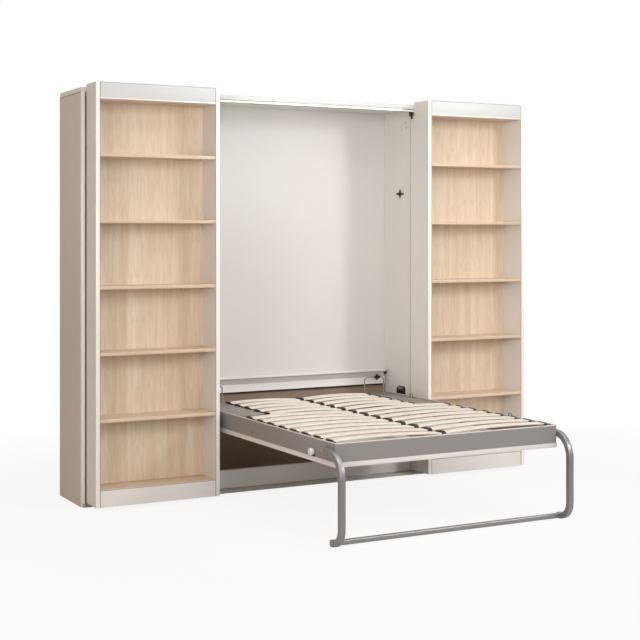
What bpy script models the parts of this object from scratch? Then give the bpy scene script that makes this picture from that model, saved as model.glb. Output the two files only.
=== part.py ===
import math

import bmesh
import bpy
from mathutils import Matrix, Vector

# Lengths are metres. X runs along the wall, -Y is the front, Z is up, and the floor is Z = 0.
# Depths named _D are measured back from the front face of the two bookcases.

# Clearances
GAP = 0.0003
SLIDE_GAP = 0.003
SIDE_PLAY = 0.005
PIN_PLAY = 0.00008
LEG_PLAY = 0.0008
LEG_TO_CASE = 0.0017
CASE_TO_WALL = 0.0125
BOSS_END_PLAY = 0.0015
FLOOR_CLEAR = 0.0008

# Boards
BOARD = 0.024
SHELF_T = 0.018
THIN = 0.012
BACK_T = 0.010
EDGE_R = 0.0012

# Bed frame
BED_HALF_W = 0.668
BED_LENGTH = 1.7298
BED_HEAD_D = 0.440
RAIL_TOP = 0.4925
RAIL_H = 0.094
RAIL_T = 0.030
RAIL_LIP_T = 0.004
RAIL_LIP_H = 0.010
RAIL_EDGE_R = 0.002
BEAM_HALF_W = 0.020
BEAM_H = 0.047
BED_PIN_R = 0.008
PIVOT_FROM_HEAD = 0.105
PIVOT_DROP = 0.0325
KNOB_R = 0.0185
KNOB_H = 0.022
KNOB_FROM_FOOT = 0.2230
KNOB_DROP = 0.0689
SCREW_R = 0.005
SCREW_H = 0.0015
SCREW_FROM_PIVOT = 0.6912
SCREW_DROP = 0.0698

# Slats
SLAT_ROWS = 13
SHORT_ROWS = 5
SLAT_FROM_HEAD = 0.072
SLAT_FROM_FOOT = 0.0998
SLAT_W = 0.065
SLAT_T = 0.008
SLAT_RISE = 0.010
SLAT_NEAR_X = 0.007
SLAT_LIFT = 0.0028
HOLDER_DROP = 0.005
SLAT_STEPS = 10
CAP_INSET = 0.018
CAP_L = 0.020
CAP_COVER = 0.004
CAP_W = 0.075
CAP_H = 0.0150
HOLDER_HALF_X = 0.016
HOLDER_W = 0.078
HOLDER_H = 0.0185
HOLDER_R = 0.003

# Cover plates over the frame near the wall
PLATE_INSET = 0.026
PLATE_W = 0.159
PLATE_PAST_CAP = 0.0015
PLATE_RISE = 0.005
PLATE_STUMP = 0.001
PLATE_T = 0.0035
PLATE_CORNER = 0.014
PLATE_LEDGE_W = 0.026
PLATE_LIP_H = 0.008
TAB_INSET = 0.008
TAB_HALF_W = 0.015
TAB_COUNT = 4
POST_W = 0.020
POST_COUNT = 2

# Mattress hoops at the head, and strap rings on one rail
HOOP_INSET = 0.104
HOOP_HALF_W = 0.070
HOOP_H = 0.0965
HOOP_BEND = 0.020
WIRE_R = 0.0032
CLAMP_HALF_X = 0.020
CLAMP_HALF_Z = 0.0085
CLAMP_HALF_Y = 0.008
CLAMP_SHIFT = 0.022
CLAMP_ARM_HALF_X = 0.006
CLAMP_ARM_HALF_Z = 0.018
RING_FROM_HEAD = 0.3114
RING_FROM_FOOT = 0.3949
RING_INSET = 0.011
RING_R = 0.0175
RING_WIRE_R = 0.0018

# Folding leg
TUBE = 0.029
TUBE_CORNER = 0.008
LEG_PIVOT_FROM_FOOT = 0.0838
LEG_PIVOT_DROP = 0.0433
LEG_START_BACK = 0.012
LEG_REACH_OUT = 0.0882
LEG_TOP_BEND = 0.120
LEG_FOOT_BEND = 0.078
LEG_PIN_R = 0.005
LEG_PIN_L = 0.024
BEND_STEPS = 12
FOOT_STEPS = 9

# Cabinet
CABINET_TOP = 2.306
CABINET_FRONT_D = 0.165
BACK_CLEAR = 0.110
TOP_T = 0.026
TOP_CHAMFER_D = 0.010
PLINTH_H = 0.123

# Guide rail above and floor track below
RAIL_DEPTH = 0.040
GUIDE_RAIL_H = 0.0157
GROOVE_W = 0.019
GROOVE_H = 0.0105
TRACK_LEAD = 0.015
TRACK_H = 0.018
TRACK_GROOVE_W = 0.014
TRACK_GROOVE_H = 0.004
TRACK_EAR = 0.016

# Bookcases
CASE_W = 0.728
CASE_RISE = 0.016
CASE_LIFT = 0.004
BASE_H = 0.092
NOTCH_DROP = 0.020
NOTCH_SET = 0.0025
CASE_TAIL = 0.009
SHELF_SET_BACK = 0.002
SHELF_COUNT = 5
KICK_T = 0.018
LOW_BAY_share = 0.180359
BAY_share = 0.170161

# Rollers
GUIDE_R = 0.009
GUIDE_REACH = 0.008
GUIDE_INSET = 0.030
GUIDE_COLLAR_R = 0.012
GUIDE_COLLAR_H = 0.006
WHEEL_R = 0.022
WHEEL_W = 0.012
WHEEL_INSET = 0.070
FRONT_WHEEL_D = 0.105
WHEEL_FORK_W = 0.028
WHEEL_FORK_D = 0.026

# Head ledge and the board below it
LEDGE_PAST_BED = 0.004
LEDGE_H = 0.1365
LEDGE_T = 0.012
LEDGE_BEHIND_HEAD = 0.050
APRON_SET = 0.022
APRON_H = 0.094
LEDGE_END_W = 0.010
LEDGE_END_H = 0.026
LEDGE_END_D = 0.020
LOW_BOARD_GAP = 0.004

# Fittings on the compartment walls
BRACKET_FRONT = 0.050
BRACKET_REAR = 0.038
BRACKET_UNDER = 0.040
BRACKET_OVER = 0.074
BRACKET_T = 0.008
BOSS_R = 0.017
BRACKET_RIB_W = 0.010
BRACKET_RIB_T = 0.008
BRACKET_RIB_INSET = 0.003
CATCH_BEHIND_PIVOT = 0.012
CATCH_DROP = 0.550
CATCH_ARM_Y = 0.045
CATCH_ARM_Z = 0.027
CATCH_HALF = 0.0055
CATCH_T = 0.008
CATCH_STUD_R = 0.006
CATCH_STUD_T = 0.006

# The bed's places, along its depth, its height and its half width
BED_FOOT_D = BED_HEAD_D - BED_LENGTH
BED_PIVOT_D = BED_HEAD_D - PIVOT_FROM_HEAD
BED_PIVOT_Z = RAIL_TOP - PIVOT_DROP
RAIL_BASE = RAIL_TOP - RAIL_H
SEAT_Z = RAIL_TOP - RAIL_LIP_H
HOLDER_BASE = SEAT_Z - HOLDER_DROP
PANEL_TOP = RAIL_BASE - GAP
PANEL_BASE = PANEL_TOP - BOARD
KNOB_D = BED_FOOT_D + KNOB_FROM_FOOT
KNOB_Z = RAIL_TOP - KNOB_DROP
SCREW_D = BED_PIVOT_D - SCREW_FROM_PIVOT
SCREW_Z = RAIL_TOP - SCREW_DROP
SLAT_FIRST_D = BED_HEAD_D - SLAT_FROM_HEAD
SLAT_LAST_D = BED_FOOT_D + SLAT_FROM_FOOT
SLAT_PITCH = (SLAT_FIRST_D - SLAT_LAST_D) / (SLAT_ROWS - 1)
CAP_OUT_X = BED_HALF_W - CAP_INSET
PLATE_OUT_X = BED_HALF_W - PLATE_INSET
PLATE_IN_X = PLATE_OUT_X - PLATE_W
PLATE_BACK_D = BED_HEAD_D - RAIL_T - GAP
LAST_SHORT_D = SLAT_FIRST_D - SLAT_PITCH * (SHORT_ROWS - 1)
PLATE_FRONT_D = LAST_SHORT_D - CAP_W / 2 - PLATE_PAST_CAP
PLATE_TOP = SEAT_Z + PLATE_RISE
LEDGE_IN_X = PLATE_IN_X - PLATE_LEDGE_W
SHORT_CAP_OUT_X = PLATE_IN_X - GAP
TAB_OUT_X = BED_HALF_W - TAB_INSET
HOOP_X = BED_HALF_W - HOOP_INSET
HOOP_TOP = RAIL_TOP + HOOP_H
RING_DS = (BED_HEAD_D - RING_FROM_HEAD, BED_FOOT_D + RING_FROM_FOOT)
RING_X = BED_HALF_W - RING_INSET

# The leg's places
LEG_PIVOT_D = BED_FOOT_D + LEG_PIVOT_FROM_FOOT
LEG_PIVOT_Z = RAIL_TOP - LEG_PIVOT_DROP
LEG_FRONT_D = BED_FOOT_D - LEG_REACH_OUT
LEG_IN_X = BED_HALF_W + LEG_PLAY
LEG_X = LEG_IN_X + TUBE / 2
LEG_BAR_Z = TUBE / 2 + FLOOR_CLEAR

# The bookcases stand beside the leg, and the compartment walls behind them
CASE_IN = LEG_X + TUBE / 2 + LEG_TO_CASE
CASE_OUT = CASE_IN + CASE_W
DIVIDER_IN = CASE_IN + CASE_TO_WALL
INSIDE_OUT = CASE_OUT + SIDE_PLAY
CABINET_OUT = INSIDE_OUT + BOARD
CABINET_BACK_D = BED_HEAD_D + BACK_CLEAR
PANEL_BACK_D = CABINET_BACK_D - BACK_T
CASE_DEPTH = CABINET_FRONT_D + RAIL_DEPTH
CASE_BACK_D = CASE_DEPTH - THIN - CASE_TAIL
DIVIDER_FRONT_D = CASE_DEPTH + SLIDE_GAP
GROOVE_D = CABINET_FRONT_D + RAIL_DEPTH / 2
TRACK_FRONT_D = CABINET_FRONT_D - TRACK_LEAD
NOTCH_D = CABINET_FRONT_D - NOTCH_SET

# Heights, counted down from the cabinet's top
UNDER_TOP = CABINET_TOP - TOP_T
RAIL_BOTTOM = UNDER_TOP - GAP - GUIDE_RAIL_H
CASE_TOP = CABINET_TOP + CASE_RISE
NOTCH_Z = RAIL_BOTTOM - NOTCH_DROP
HEADER_Z = NOTCH_Z - THIN
GUIDE_TOP = RAIL_BOTTOM + GUIDE_REACH
CASE_BOTTOM = TRACK_H + CASE_LIFT
BASE_TOP = CASE_BOTTOM + BASE_H
SHELF_SPACE = HEADER_Z - BASE_TOP
LOW_SHELF_TOP = BASE_TOP + SHELF_SPACE * LOW_BAY_share
SHELF_PITCH = SHELF_SPACE * BAY_share
LEDGE_TOP = RAIL_TOP + LEDGE_H
LEDGE_HALF_W = BED_HALF_W + LEDGE_PAST_BED
LEDGE_FRONT_D = BED_HEAD_D + LEDGE_BEHIND_HEAD
APRON_D = LEDGE_FRONT_D + APRON_SET
APRON_BOTTOM = LEDGE_TOP - APRON_H
LOW_BOARD_TOP = APRON_BOTTOM - LOW_BOARD_GAP
BRACKET_LO_D = BED_PIVOT_D - BRACKET_FRONT
BRACKET_HI_D = BED_PIVOT_D + BRACKET_REAR
BRACKET_LO_Z = BED_PIVOT_Z - BRACKET_UNDER
BRACKET_HI_Z = BED_PIVOT_Z + BRACKET_OVER
CATCH_D = BED_PIVOT_D + CATCH_BEHIND_PIVOT
CATCH_Z = CABINET_TOP - CATCH_DROP

# The middle of the whole depth is Y = 0
LEG_REACH = TUBE / 2 - LEG_FRONT_D
FRONT_Y = (LEG_REACH - CABINET_BACK_D) / 2

for old in list(bpy.data.objects):
    bpy.data.objects.remove(old)

parts = bpy.data.collections.new("wall_bed_with_bookcase")
cutters = bpy.data.collections.new("cutters")
bpy.context.scene.collection.children.link(parts)
bpy.context.scene.collection.children.link(cutters)


def material(name, red, green, blue, roughness, metallic=0.0):
    made = bpy.data.materials.new(name)
    made.use_nodes = True
    shader = made.node_tree.nodes["Principled BSDF"]
    shader.inputs["Base Color"].default_value = (red, green, blue, 1.0)
    shader.inputs["Roughness"].default_value = roughness
    shader.inputs["Metallic"].default_value = metallic
    made.diffuse_color = (red, green, blue, 1.0)
    return made


WHITE = material("white_board", 0.84, 0.80, 0.76, 0.45)
MAPLE = material("maple_board", 0.74, 0.58, 0.42, 0.5)
BROWN = material("brown_board", 0.36, 0.29, 0.22, 0.6)
GREY = material("grey_rail", 0.25, 0.23, 0.22, 0.45)
SILVER = material("silver_tube", 0.36, 0.34, 0.32, 0.35, 0.4)
METAL = material("pale_metal", 0.6, 0.6, 0.58, 0.35, 0.8)
BLACK = material("black_plastic", 0.012, 0.011, 0.01, 0.5)
BEECH = material("beech_slat", 0.83, 0.74, 0.58, 0.55)


def world_y(depth):
    return FRONT_Y + depth


def own(name, mesh, look, place, collection=parts):
    made = bpy.data.objects.new(name, mesh)
    made.location = place
    mesh.materials.clear()
    mesh.materials.append(look)
    collection.objects.link(made)
    if collection is cutters:
        made.hide_render = True
        made.display_type = "WIRE"
    return made


def round_edges(made, width, segments=1):
    rounded = made.modifiers.new("rounded edges", "BEVEL")
    rounded.width = width
    rounded.segments = segments
    rounded.limit_method = "ANGLE"
    rounded.harden_normals = False
    return made


def box(name, xs, ds, zs, look, edge=EDGE_R, collection=parts):
    """A board between two X values, two depths and two heights, with eased edges."""
    ys = (world_y(ds[0]), world_y(ds[1]))
    lo = Vector((min(xs), min(ys), min(zs)))
    hi = Vector((max(xs), max(ys), max(zs)))
    shape = bmesh.new()
    bmesh.ops.create_cube(shape, size=1.0, matrix=Matrix.Diagonal((hi - lo).to_4d()))
    mesh = bpy.data.meshes.new(name)
    shape.to_mesh(mesh)
    shape.free()
    made = own(name, mesh, look, (lo + hi) / 2, collection)
    if edge:
        round_edges(made, edge)
    return made


def prism_mesh(name, outline, axis, span):
    """Draws an outline in the plane across the axis and pulls it along the axis."""
    shape = bmesh.new()
    low, high = min(span), max(span)
    ring = []
    for first, second in outline:
        if axis == "X":
            ring.append(shape.verts.new((low, first, second)))
        elif axis == "Y":
            ring.append(shape.verts.new((first, low, second)))
        else:
            ring.append(shape.verts.new((first, second, low)))
    face = shape.faces.new(ring)
    pull = {"X": (1, 0, 0), "Y": (0, 1, 0), "Z": (0, 0, 1)}[axis]
    pulled = bmesh.ops.extrude_face_region(shape, geom=[face])
    moved = [item for item in pulled["geom"] if isinstance(item, bmesh.types.BMVert)]
    bmesh.ops.translate(shape, vec=Vector(pull) * (high - low), verts=moved)
    bmesh.ops.recalc_face_normals(shape, faces=shape.faces)
    mesh = bpy.data.meshes.new(name)
    shape.to_mesh(mesh)
    shape.free()
    return mesh


def prism(name, outline, axis, span, look, edge=EDGE_R, collection=parts, segments=1):
    made = own(name, prism_mesh(name, outline, axis, span), look, (0, 0, 0), collection)
    if edge:
        round_edges(made, edge, segments)
    return made


def drum(name, centre, radius, axis, span, look, sides=32, collection=cutters):
    """A cylinder about an axis through the centre, between two values on that axis."""
    shape = bmesh.new()
    length = abs(span[1] - span[0])
    bmesh.ops.create_cone(
        shape, cap_ends=True, segments=sides, radius1=radius, radius2=radius, depth=length
    )
    turn = {
        "X": Matrix.Rotation(math.pi / 2, 4, "Y"),
        "Y": Matrix.Rotation(math.pi / 2, 4, "X"),
        "Z": Matrix.Identity(4),
    }[axis]
    bmesh.ops.transform(shape, matrix=turn, verts=shape.verts)
    mesh = bpy.data.meshes.new(name)
    shape.to_mesh(mesh)
    shape.free()
    middle = (span[0] + span[1]) / 2
    place = Vector(centre)
    place["XYZ".index(axis)] = middle
    return own(name, mesh, look, place, collection)


def combine(made, other, how):
    step = made.modifiers.new(how.lower() + " " + other.name, "BOOLEAN")
    step.operation = how
    step.solver = "EXACT"
    step.object = other
    return made


def add(made, other):
    return combine(made, other, "UNION")


def cut(made, other):
    return combine(made, other, "DIFFERENCE")


def bend(centre, radius, start, stop, steps):
    """Points of an arc in a plane, with angles in degrees."""
    points = []
    for index in range(steps + 1):
        angle = math.radians(start + (stop - start) * index / steps)
        points.append(
            (centre[0] + radius * math.cos(angle), centre[1] + radius * math.sin(angle))
        )
    return points


def rounded_square(side, corner, steps):
    flat = side / 2 - corner
    points = []
    for sx, sy, start in ((1, 1, 0), (-1, 1, 90), (-1, -1, 180), (1, -1, 270)):
        points += bend((sx * flat, sy * flat), corner, start, start + 90, steps)
    return points


def circle(radius, sides):
    return bend((0, 0), radius, 0, 360 - 360 / sides, sides - 1)


def sweep_mesh(name, path, profile, across):
    """Carries a closed profile along a path, cutting each corner on its bisecting plane."""
    points = [Vector(point) for point in path]
    shape = bmesh.new()
    rings = []
    side = Vector(across).normalized()
    for index, point in enumerate(points):
        before = points[index] - points[index - 1] if index else points[1] - points[0]
        after = points[index + 1] - point if index + 1 < len(points) else before
        before.normalize()
        after = after.normalized()
        plane = (before + after).normalized()
        side = (side - before * side.dot(before)).normalized()
        up = before.cross(side)
        ring = []
        for u, v in profile:
            offset = side * u + up * v
            offset -= before * (offset.dot(plane) / before.dot(plane))
            ring.append(shape.verts.new(point + offset))
        rings.append(ring)
        turn = before.rotation_difference(after)
        side = turn @ side
    count = len(profile)
    for first, second in zip(rings, rings[1:]):
        for index in range(count):
            after = (index + 1) % count
            shape.faces.new((first[index], first[after], second[after], second[index]))
    shape.faces.new(list(reversed(rings[0])))
    shape.faces.new(rings[-1])
    bmesh.ops.recalc_face_normals(shape, faces=shape.faces)
    mesh = bpy.data.meshes.new(name)
    shape.to_mesh(mesh)
    shape.free()
    return mesh


def baked(made):
    """Works out the modifiers once, so that several objects can share the finished mesh."""
    bpy.context.view_layer.update()
    graph = bpy.context.evaluated_depsgraph_get()
    mesh = bpy.data.meshes.new_from_object(made.evaluated_get(graph))
    mesh.transform(made.matrix_world)
    return mesh


def joint(name, depth, height):
    made = bpy.data.objects.new(name, None)
    made.location = (0, world_y(depth), height)
    made.empty_display_size = BOARD
    parts.objects.link(made)
    return made


def hang(made, carrier):
    """Parents a piece to the empty on its joint axis, and leaves it where it stands."""
    made.parent = carrier
    made.location -= carrier.location
    return made


# The cabinet that stands against the wall

for side_name, sign in (("left", -1), ("right", 1)):
    box(
        side_name + "_outer_side",
        (sign * INSIDE_OUT, sign * CABINET_OUT),
        (CABINET_FRONT_D, CABINET_BACK_D),
        (0, UNDER_TOP - GAP),
        WHITE,
    )
    box(
        side_name + "_divider",
        (sign * DIVIDER_IN, sign * (DIVIDER_IN + BOARD)),
        (DIVIDER_FRONT_D, PANEL_BACK_D - GAP),
        (0, UNDER_TOP - GAP),
        WHITE,
    )

top_outline = [
    (world_y(CABINET_FRONT_D), UNDER_TOP),
    (world_y(CABINET_BACK_D), UNDER_TOP),
    (world_y(CABINET_BACK_D - TOP_CHAMFER_D), CABINET_TOP),
    (world_y(CABINET_FRONT_D), CABINET_TOP),
]
prism("top_panel", top_outline, "X", (-CABINET_OUT, CABINET_OUT), WHITE)
box(
    "back_panel",
    (GAP - INSIDE_OUT, INSIDE_OUT - GAP),
    (PANEL_BACK_D, CABINET_BACK_D),
    (0, UNDER_TOP - GAP),
    WHITE,
)
box(
    "plinth_board",
    (GAP - DIVIDER_IN, DIVIDER_IN - GAP),
    (DIVIDER_FRONT_D, DIVIDER_FRONT_D + BOARD),
    (0, PLINTH_H),
    WHITE,
)
box(
    "lower_back_board",
    (GAP - DIVIDER_IN, DIVIDER_IN - GAP),
    (PANEL_BACK_D - THIN, PANEL_BACK_D - GAP),
    (0, LOW_BOARD_TOP),
    BROWN,
)

guide = box(
    "top_guide_rail",
    (GAP - INSIDE_OUT, INSIDE_OUT - GAP),
    (CABINET_FRONT_D, CABINET_FRONT_D + RAIL_DEPTH),
    (RAIL_BOTTOM, UNDER_TOP - GAP),
    METAL,
    edge=0,
)
groove = box(
    "guide_groove",
    (-CABINET_OUT, CABINET_OUT),
    (GROOVE_D - GROOVE_W / 2, GROOVE_D + GROOVE_W / 2),
    (RAIL_BOTTOM - BOARD, RAIL_BOTTOM + GROOVE_H),
    METAL,
    edge=0,
    collection=cutters,
)
cut(guide, groove)

track_back = world_y(CASE_DEPTH)
track_shoulder = world_y(CABINET_FRONT_D - GAP)
track_front = world_y(TRACK_FRONT_D)
track_in = INSIDE_OUT - GAP
track_out = INSIDE_OUT + TRACK_EAR
track_outline = [
    (-track_out, track_front),
    (track_out, track_front),
    (track_out, track_shoulder),
    (track_in, track_shoulder),
    (track_in, track_back),
    (-track_in, track_back),
    (-track_in, track_shoulder),
    (-track_out, track_shoulder),
]
track = prism("floor_track", track_outline, "Z", (0, TRACK_H), METAL, edge=0)
track_groove = box(
    "track_groove",
    (GAP - INSIDE_OUT + BOARD, INSIDE_OUT - BOARD - GAP),
    (GROOVE_D - TRACK_GROOVE_W / 2, GROOVE_D + TRACK_GROOVE_W / 2),
    (TRACK_H - TRACK_GROOVE_H, TRACK_H + BOARD),
    METAL,
    edge=0,
    collection=cutters,
)
cut(track, track_groove)

ledge_back = world_y(PANEL_BACK_D - GAP)
ledge_outline = [
    (world_y(LEDGE_FRONT_D), LEDGE_TOP - LEDGE_T),
    (world_y(APRON_D), LEDGE_TOP - LEDGE_T),
    (world_y(APRON_D), APRON_BOTTOM),
    (ledge_back, APRON_BOTTOM),
    (ledge_back, LEDGE_TOP),
    (world_y(LEDGE_FRONT_D), LEDGE_TOP),
]
ledge = prism("head_ledge", ledge_outline, "X", (-LEDGE_HALF_W, LEDGE_HALF_W), WHITE)
for side_name, sign in (("left", -1), ("right", 1)):
    add(
        ledge,
        box(
            side_name + "_ledge_end",
            (sign * (LEDGE_HALF_W - LEDGE_END_W), sign * (LEDGE_HALF_W + LEDGE_END_W)),
            (LEDGE_FRONT_D + THIN, LEDGE_FRONT_D + THIN + LEDGE_END_D),
            (LEDGE_TOP - LEDGE_T / 2 - LEDGE_END_H, LEDGE_TOP - LEDGE_T / 2),
            BLACK,
            edge=0,
            collection=cutters,
        ),
    )

for side_name, sign in (("left", -1), ("right", 1)):
    wall = DIVIDER_IN - GAP
    bracket = box(
        side_name + "_pivot_bracket",
        (sign * (wall - BRACKET_T), sign * wall),
        (BRACKET_LO_D, BRACKET_HI_D),
        (BRACKET_LO_Z, BRACKET_HI_Z),
        BLACK,
    )
    pivot = (0, world_y(BED_PIVOT_D), BED_PIVOT_Z)
    boss_end = BED_HALF_W + BOSS_END_PLAY
    pin_end = BED_HALF_W - RAIL_T + RAIL_LIP_T
    add(
        bracket,
        drum(
            side_name + "_boss",
            pivot,
            BOSS_R,
            "X",
            (sign * boss_end, sign * (wall - BRACKET_T / 2)),
            BLACK,
        ),
    )
    add(
        bracket,
        drum(
            side_name + "_bed_pin",
            pivot,
            BED_PIN_R,
            "X",
            (sign * pin_end, sign * (wall - BRACKET_T / 2)),
            BLACK,
        ),
    )
    for rib_name, rib_d in (
        ("front", BRACKET_LO_D + BRACKET_RIB_INSET),
        ("back", BRACKET_HI_D - BRACKET_RIB_INSET - BRACKET_RIB_W),
    ):
        add(
            bracket,
            box(
                side_name + "_" + rib_name + "_rib",
                (
                    sign * (wall - BRACKET_T - BRACKET_RIB_T),
                    sign * (wall - BRACKET_T / 2),
                ),
                (rib_d, rib_d + BRACKET_RIB_W),
                (BRACKET_LO_Z + BRACKET_RIB_W, BRACKET_HI_Z - BRACKET_RIB_W),
                BLACK,
                edge=0,
                collection=cutters,
            ),
        )

    catch_y = world_y(CATCH_D)
    cross = [
        (catch_y - CATCH_HALF, CATCH_Z - CATCH_ARM_Z),
        (catch_y + CATCH_HALF, CATCH_Z - CATCH_ARM_Z),
        (catch_y + CATCH_HALF, CATCH_Z - CATCH_HALF),
        (catch_y + CATCH_ARM_Y, CATCH_Z - CATCH_HALF),
        (catch_y + CATCH_ARM_Y, CATCH_Z + CATCH_HALF),
        (catch_y + CATCH_HALF, CATCH_Z + CATCH_HALF),
        (catch_y + CATCH_HALF, CATCH_Z + CATCH_ARM_Z),
        (catch_y - CATCH_HALF, CATCH_Z + CATCH_ARM_Z),
        (catch_y - CATCH_HALF, CATCH_Z + CATCH_HALF),
        (catch_y - CATCH_ARM_Y, CATCH_Z + CATCH_HALF),
        (catch_y - CATCH_ARM_Y, CATCH_Z - CATCH_HALF),
        (catch_y - CATCH_HALF, CATCH_Z - CATCH_HALF),
    ]
    catch = prism(
        side_name + "_latch_catch",
        cross,
        "X",
        (sign * (wall - CATCH_T), sign * wall),
        BLACK,
        edge=0,
    )
    add(
        catch,
        drum(
            side_name + "_catch_stud",
            (0, catch_y, CATCH_Z),
            CATCH_STUD_R,
            "X",
            (sign * (wall - CATCH_T - CATCH_STUD_T), sign * (wall - CATCH_T / 2)),
            BLACK,
            sides=20,
        ),
    )

# The two bookcases, each a mirror of the other

case_outline = [
    (world_y(0), CASE_BOTTOM),
    (world_y(CASE_DEPTH), CASE_BOTTOM),
    (world_y(CASE_DEPTH), NOTCH_Z),
    (world_y(NOTCH_D), NOTCH_Z),
    (world_y(NOTCH_D), CASE_TOP),
    (world_y(0), CASE_TOP),
]
header_back_d = CASE_DEPTH - GAP
header_outline = [
    (world_y(0), HEADER_Z),
    (world_y(BOARD), HEADER_Z),
    (world_y(BOARD), CASE_TOP - BOARD),
    (world_y(NOTCH_D - THIN), CASE_TOP - BOARD),
    (world_y(NOTCH_D - THIN), NOTCH_Z - THIN),
    (world_y(header_back_d), NOTCH_Z - THIN),
    (world_y(header_back_d), NOTCH_Z),
    (world_y(NOTCH_D), NOTCH_Z),
    (world_y(NOTCH_D), CASE_TOP),
    (world_y(0), CASE_TOP),
]

for side_name, sign in (("left", -1), ("right", 1)):
    slider = joint(side_name + "_bookcase_slide", 0, 0)
    own_name = side_name + "_bookcase_"
    near = CASE_IN + BOARD + GAP
    far = CASE_OUT - BOARD - GAP
    case_parts = [
        prism(
            own_name + "outer_side",
            case_outline,
            "X",
            (sign * (CASE_OUT - BOARD), sign * CASE_OUT),
            WHITE,
        ),
        prism(
            own_name + "inner_side",
            case_outline,
            "X",
            (sign * CASE_IN, sign * (CASE_IN + BOARD)),
            WHITE,
        ),
    ]
    header = prism(
        own_name + "header", header_outline, "X", (sign * near, sign * far), WHITE
    )
    for roller_name, roller_x in (("near", near + GUIDE_INSET), ("far", far - GUIDE_INSET)):
        spot = (sign * roller_x, world_y(GROOVE_D), 0)
        add(
            header,
            drum(
                own_name + roller_name + "_guide_roller",
                spot,
                GUIDE_R,
                "Z",
                (NOTCH_Z - THIN / 2, GUIDE_TOP),
                BLACK,
                sides=24,
            ),
        )
        add(
            header,
            drum(
                own_name + roller_name + "_guide_collar",
                spot,
                GUIDE_COLLAR_R,
                "Z",
                (NOTCH_Z - THIN / 2, NOTCH_Z + GUIDE_COLLAR_H),
                BLACK,
                sides=24,
            ),
        )
    case_parts.append(header)
    case_parts.append(
        box(
            own_name + "back",
            (sign * near, sign * far),
            (CASE_BACK_D, CASE_BACK_D + THIN),
            (BASE_TOP + GAP, NOTCH_Z - THIN - GAP),
            MAPLE,
        )
    )
    case_parts.append(
        box(
            own_name + "kick_board",
            (sign * near, sign * far),
            (0, KICK_T),
            (CASE_BOTTOM, BASE_TOP),
            WHITE,
        )
    )
    base = box(
        own_name + "base_shelf",
        (sign * near, sign * far),
        (KICK_T + GAP, CASE_DEPTH - GAP),
        (BASE_TOP - SHELF_T, BASE_TOP),
        MAPLE,
    )
    for wheel_name, wheel_x, wheel_d, ground in (
        ("front_near", near + WHEEL_INSET, FRONT_WHEEL_D, GAP),
        ("front_far", far - WHEEL_INSET, FRONT_WHEEL_D, GAP),
        ("rear_near", near + WHEEL_INSET, GROOVE_D, TRACK_H - TRACK_GROOVE_H + GAP),
        ("rear_far", far - WHEEL_INSET, GROOVE_D, TRACK_H - TRACK_GROOVE_H + GAP),
    ):
        axle_z = ground + WHEEL_R
        middle = world_y(wheel_d)
        add(
            base,
            drum(
                own_name + wheel_name + "_wheel",
                (sign * wheel_x, middle, axle_z),
                WHEEL_R,
                "Y",
                (middle - WHEEL_W / 2, middle + WHEEL_W / 2),
                BLACK,
                sides=28,
            ),
        )
        half_x = WHEEL_FORK_D / 2
        half_y = WHEEL_FORK_W / 2
        add(
            base,
            box(
                own_name + wheel_name + "_fork",
                (sign * wheel_x - half_x, sign * wheel_x + half_x),
                (wheel_d - half_y, wheel_d + half_y),
                (axle_z, BASE_TOP - SHELF_T / 2),
                BLACK,
                edge=0,
                collection=cutters,
            ),
        )
    case_parts.append(base)
    for number in range(SHELF_COUNT):
        top = LOW_SHELF_TOP + SHELF_PITCH * (SHELF_COUNT - 1 - number)
        case_parts.append(
            box(
                own_name + "shelf_" + str(number + 1),
                (sign * near, sign * far),
                (SHELF_SET_BACK, CASE_BACK_D - GAP),
                (top - SHELF_T, top),
                MAPLE,
            )
        )
    for piece in case_parts:
        hang(piece, slider)

# The bed frame, which turns about the two pins in the compartment walls

bed_axis = joint("bed_fold", BED_PIVOT_D, BED_PIVOT_Z)
bed_parts = []


def rail_profile(outer, inward):
    """The section of a rail: a raised lip on the outer face and a lower seat inside it."""
    return [
        (outer, RAIL_BASE),
        (outer, RAIL_TOP),
        (outer + inward * RAIL_LIP_T, RAIL_TOP),
        (outer + inward * RAIL_LIP_T, SEAT_Z),
        (outer + inward * RAIL_T, SEAT_Z),
        (outer + inward * RAIL_T, RAIL_BASE),
    ]


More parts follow.
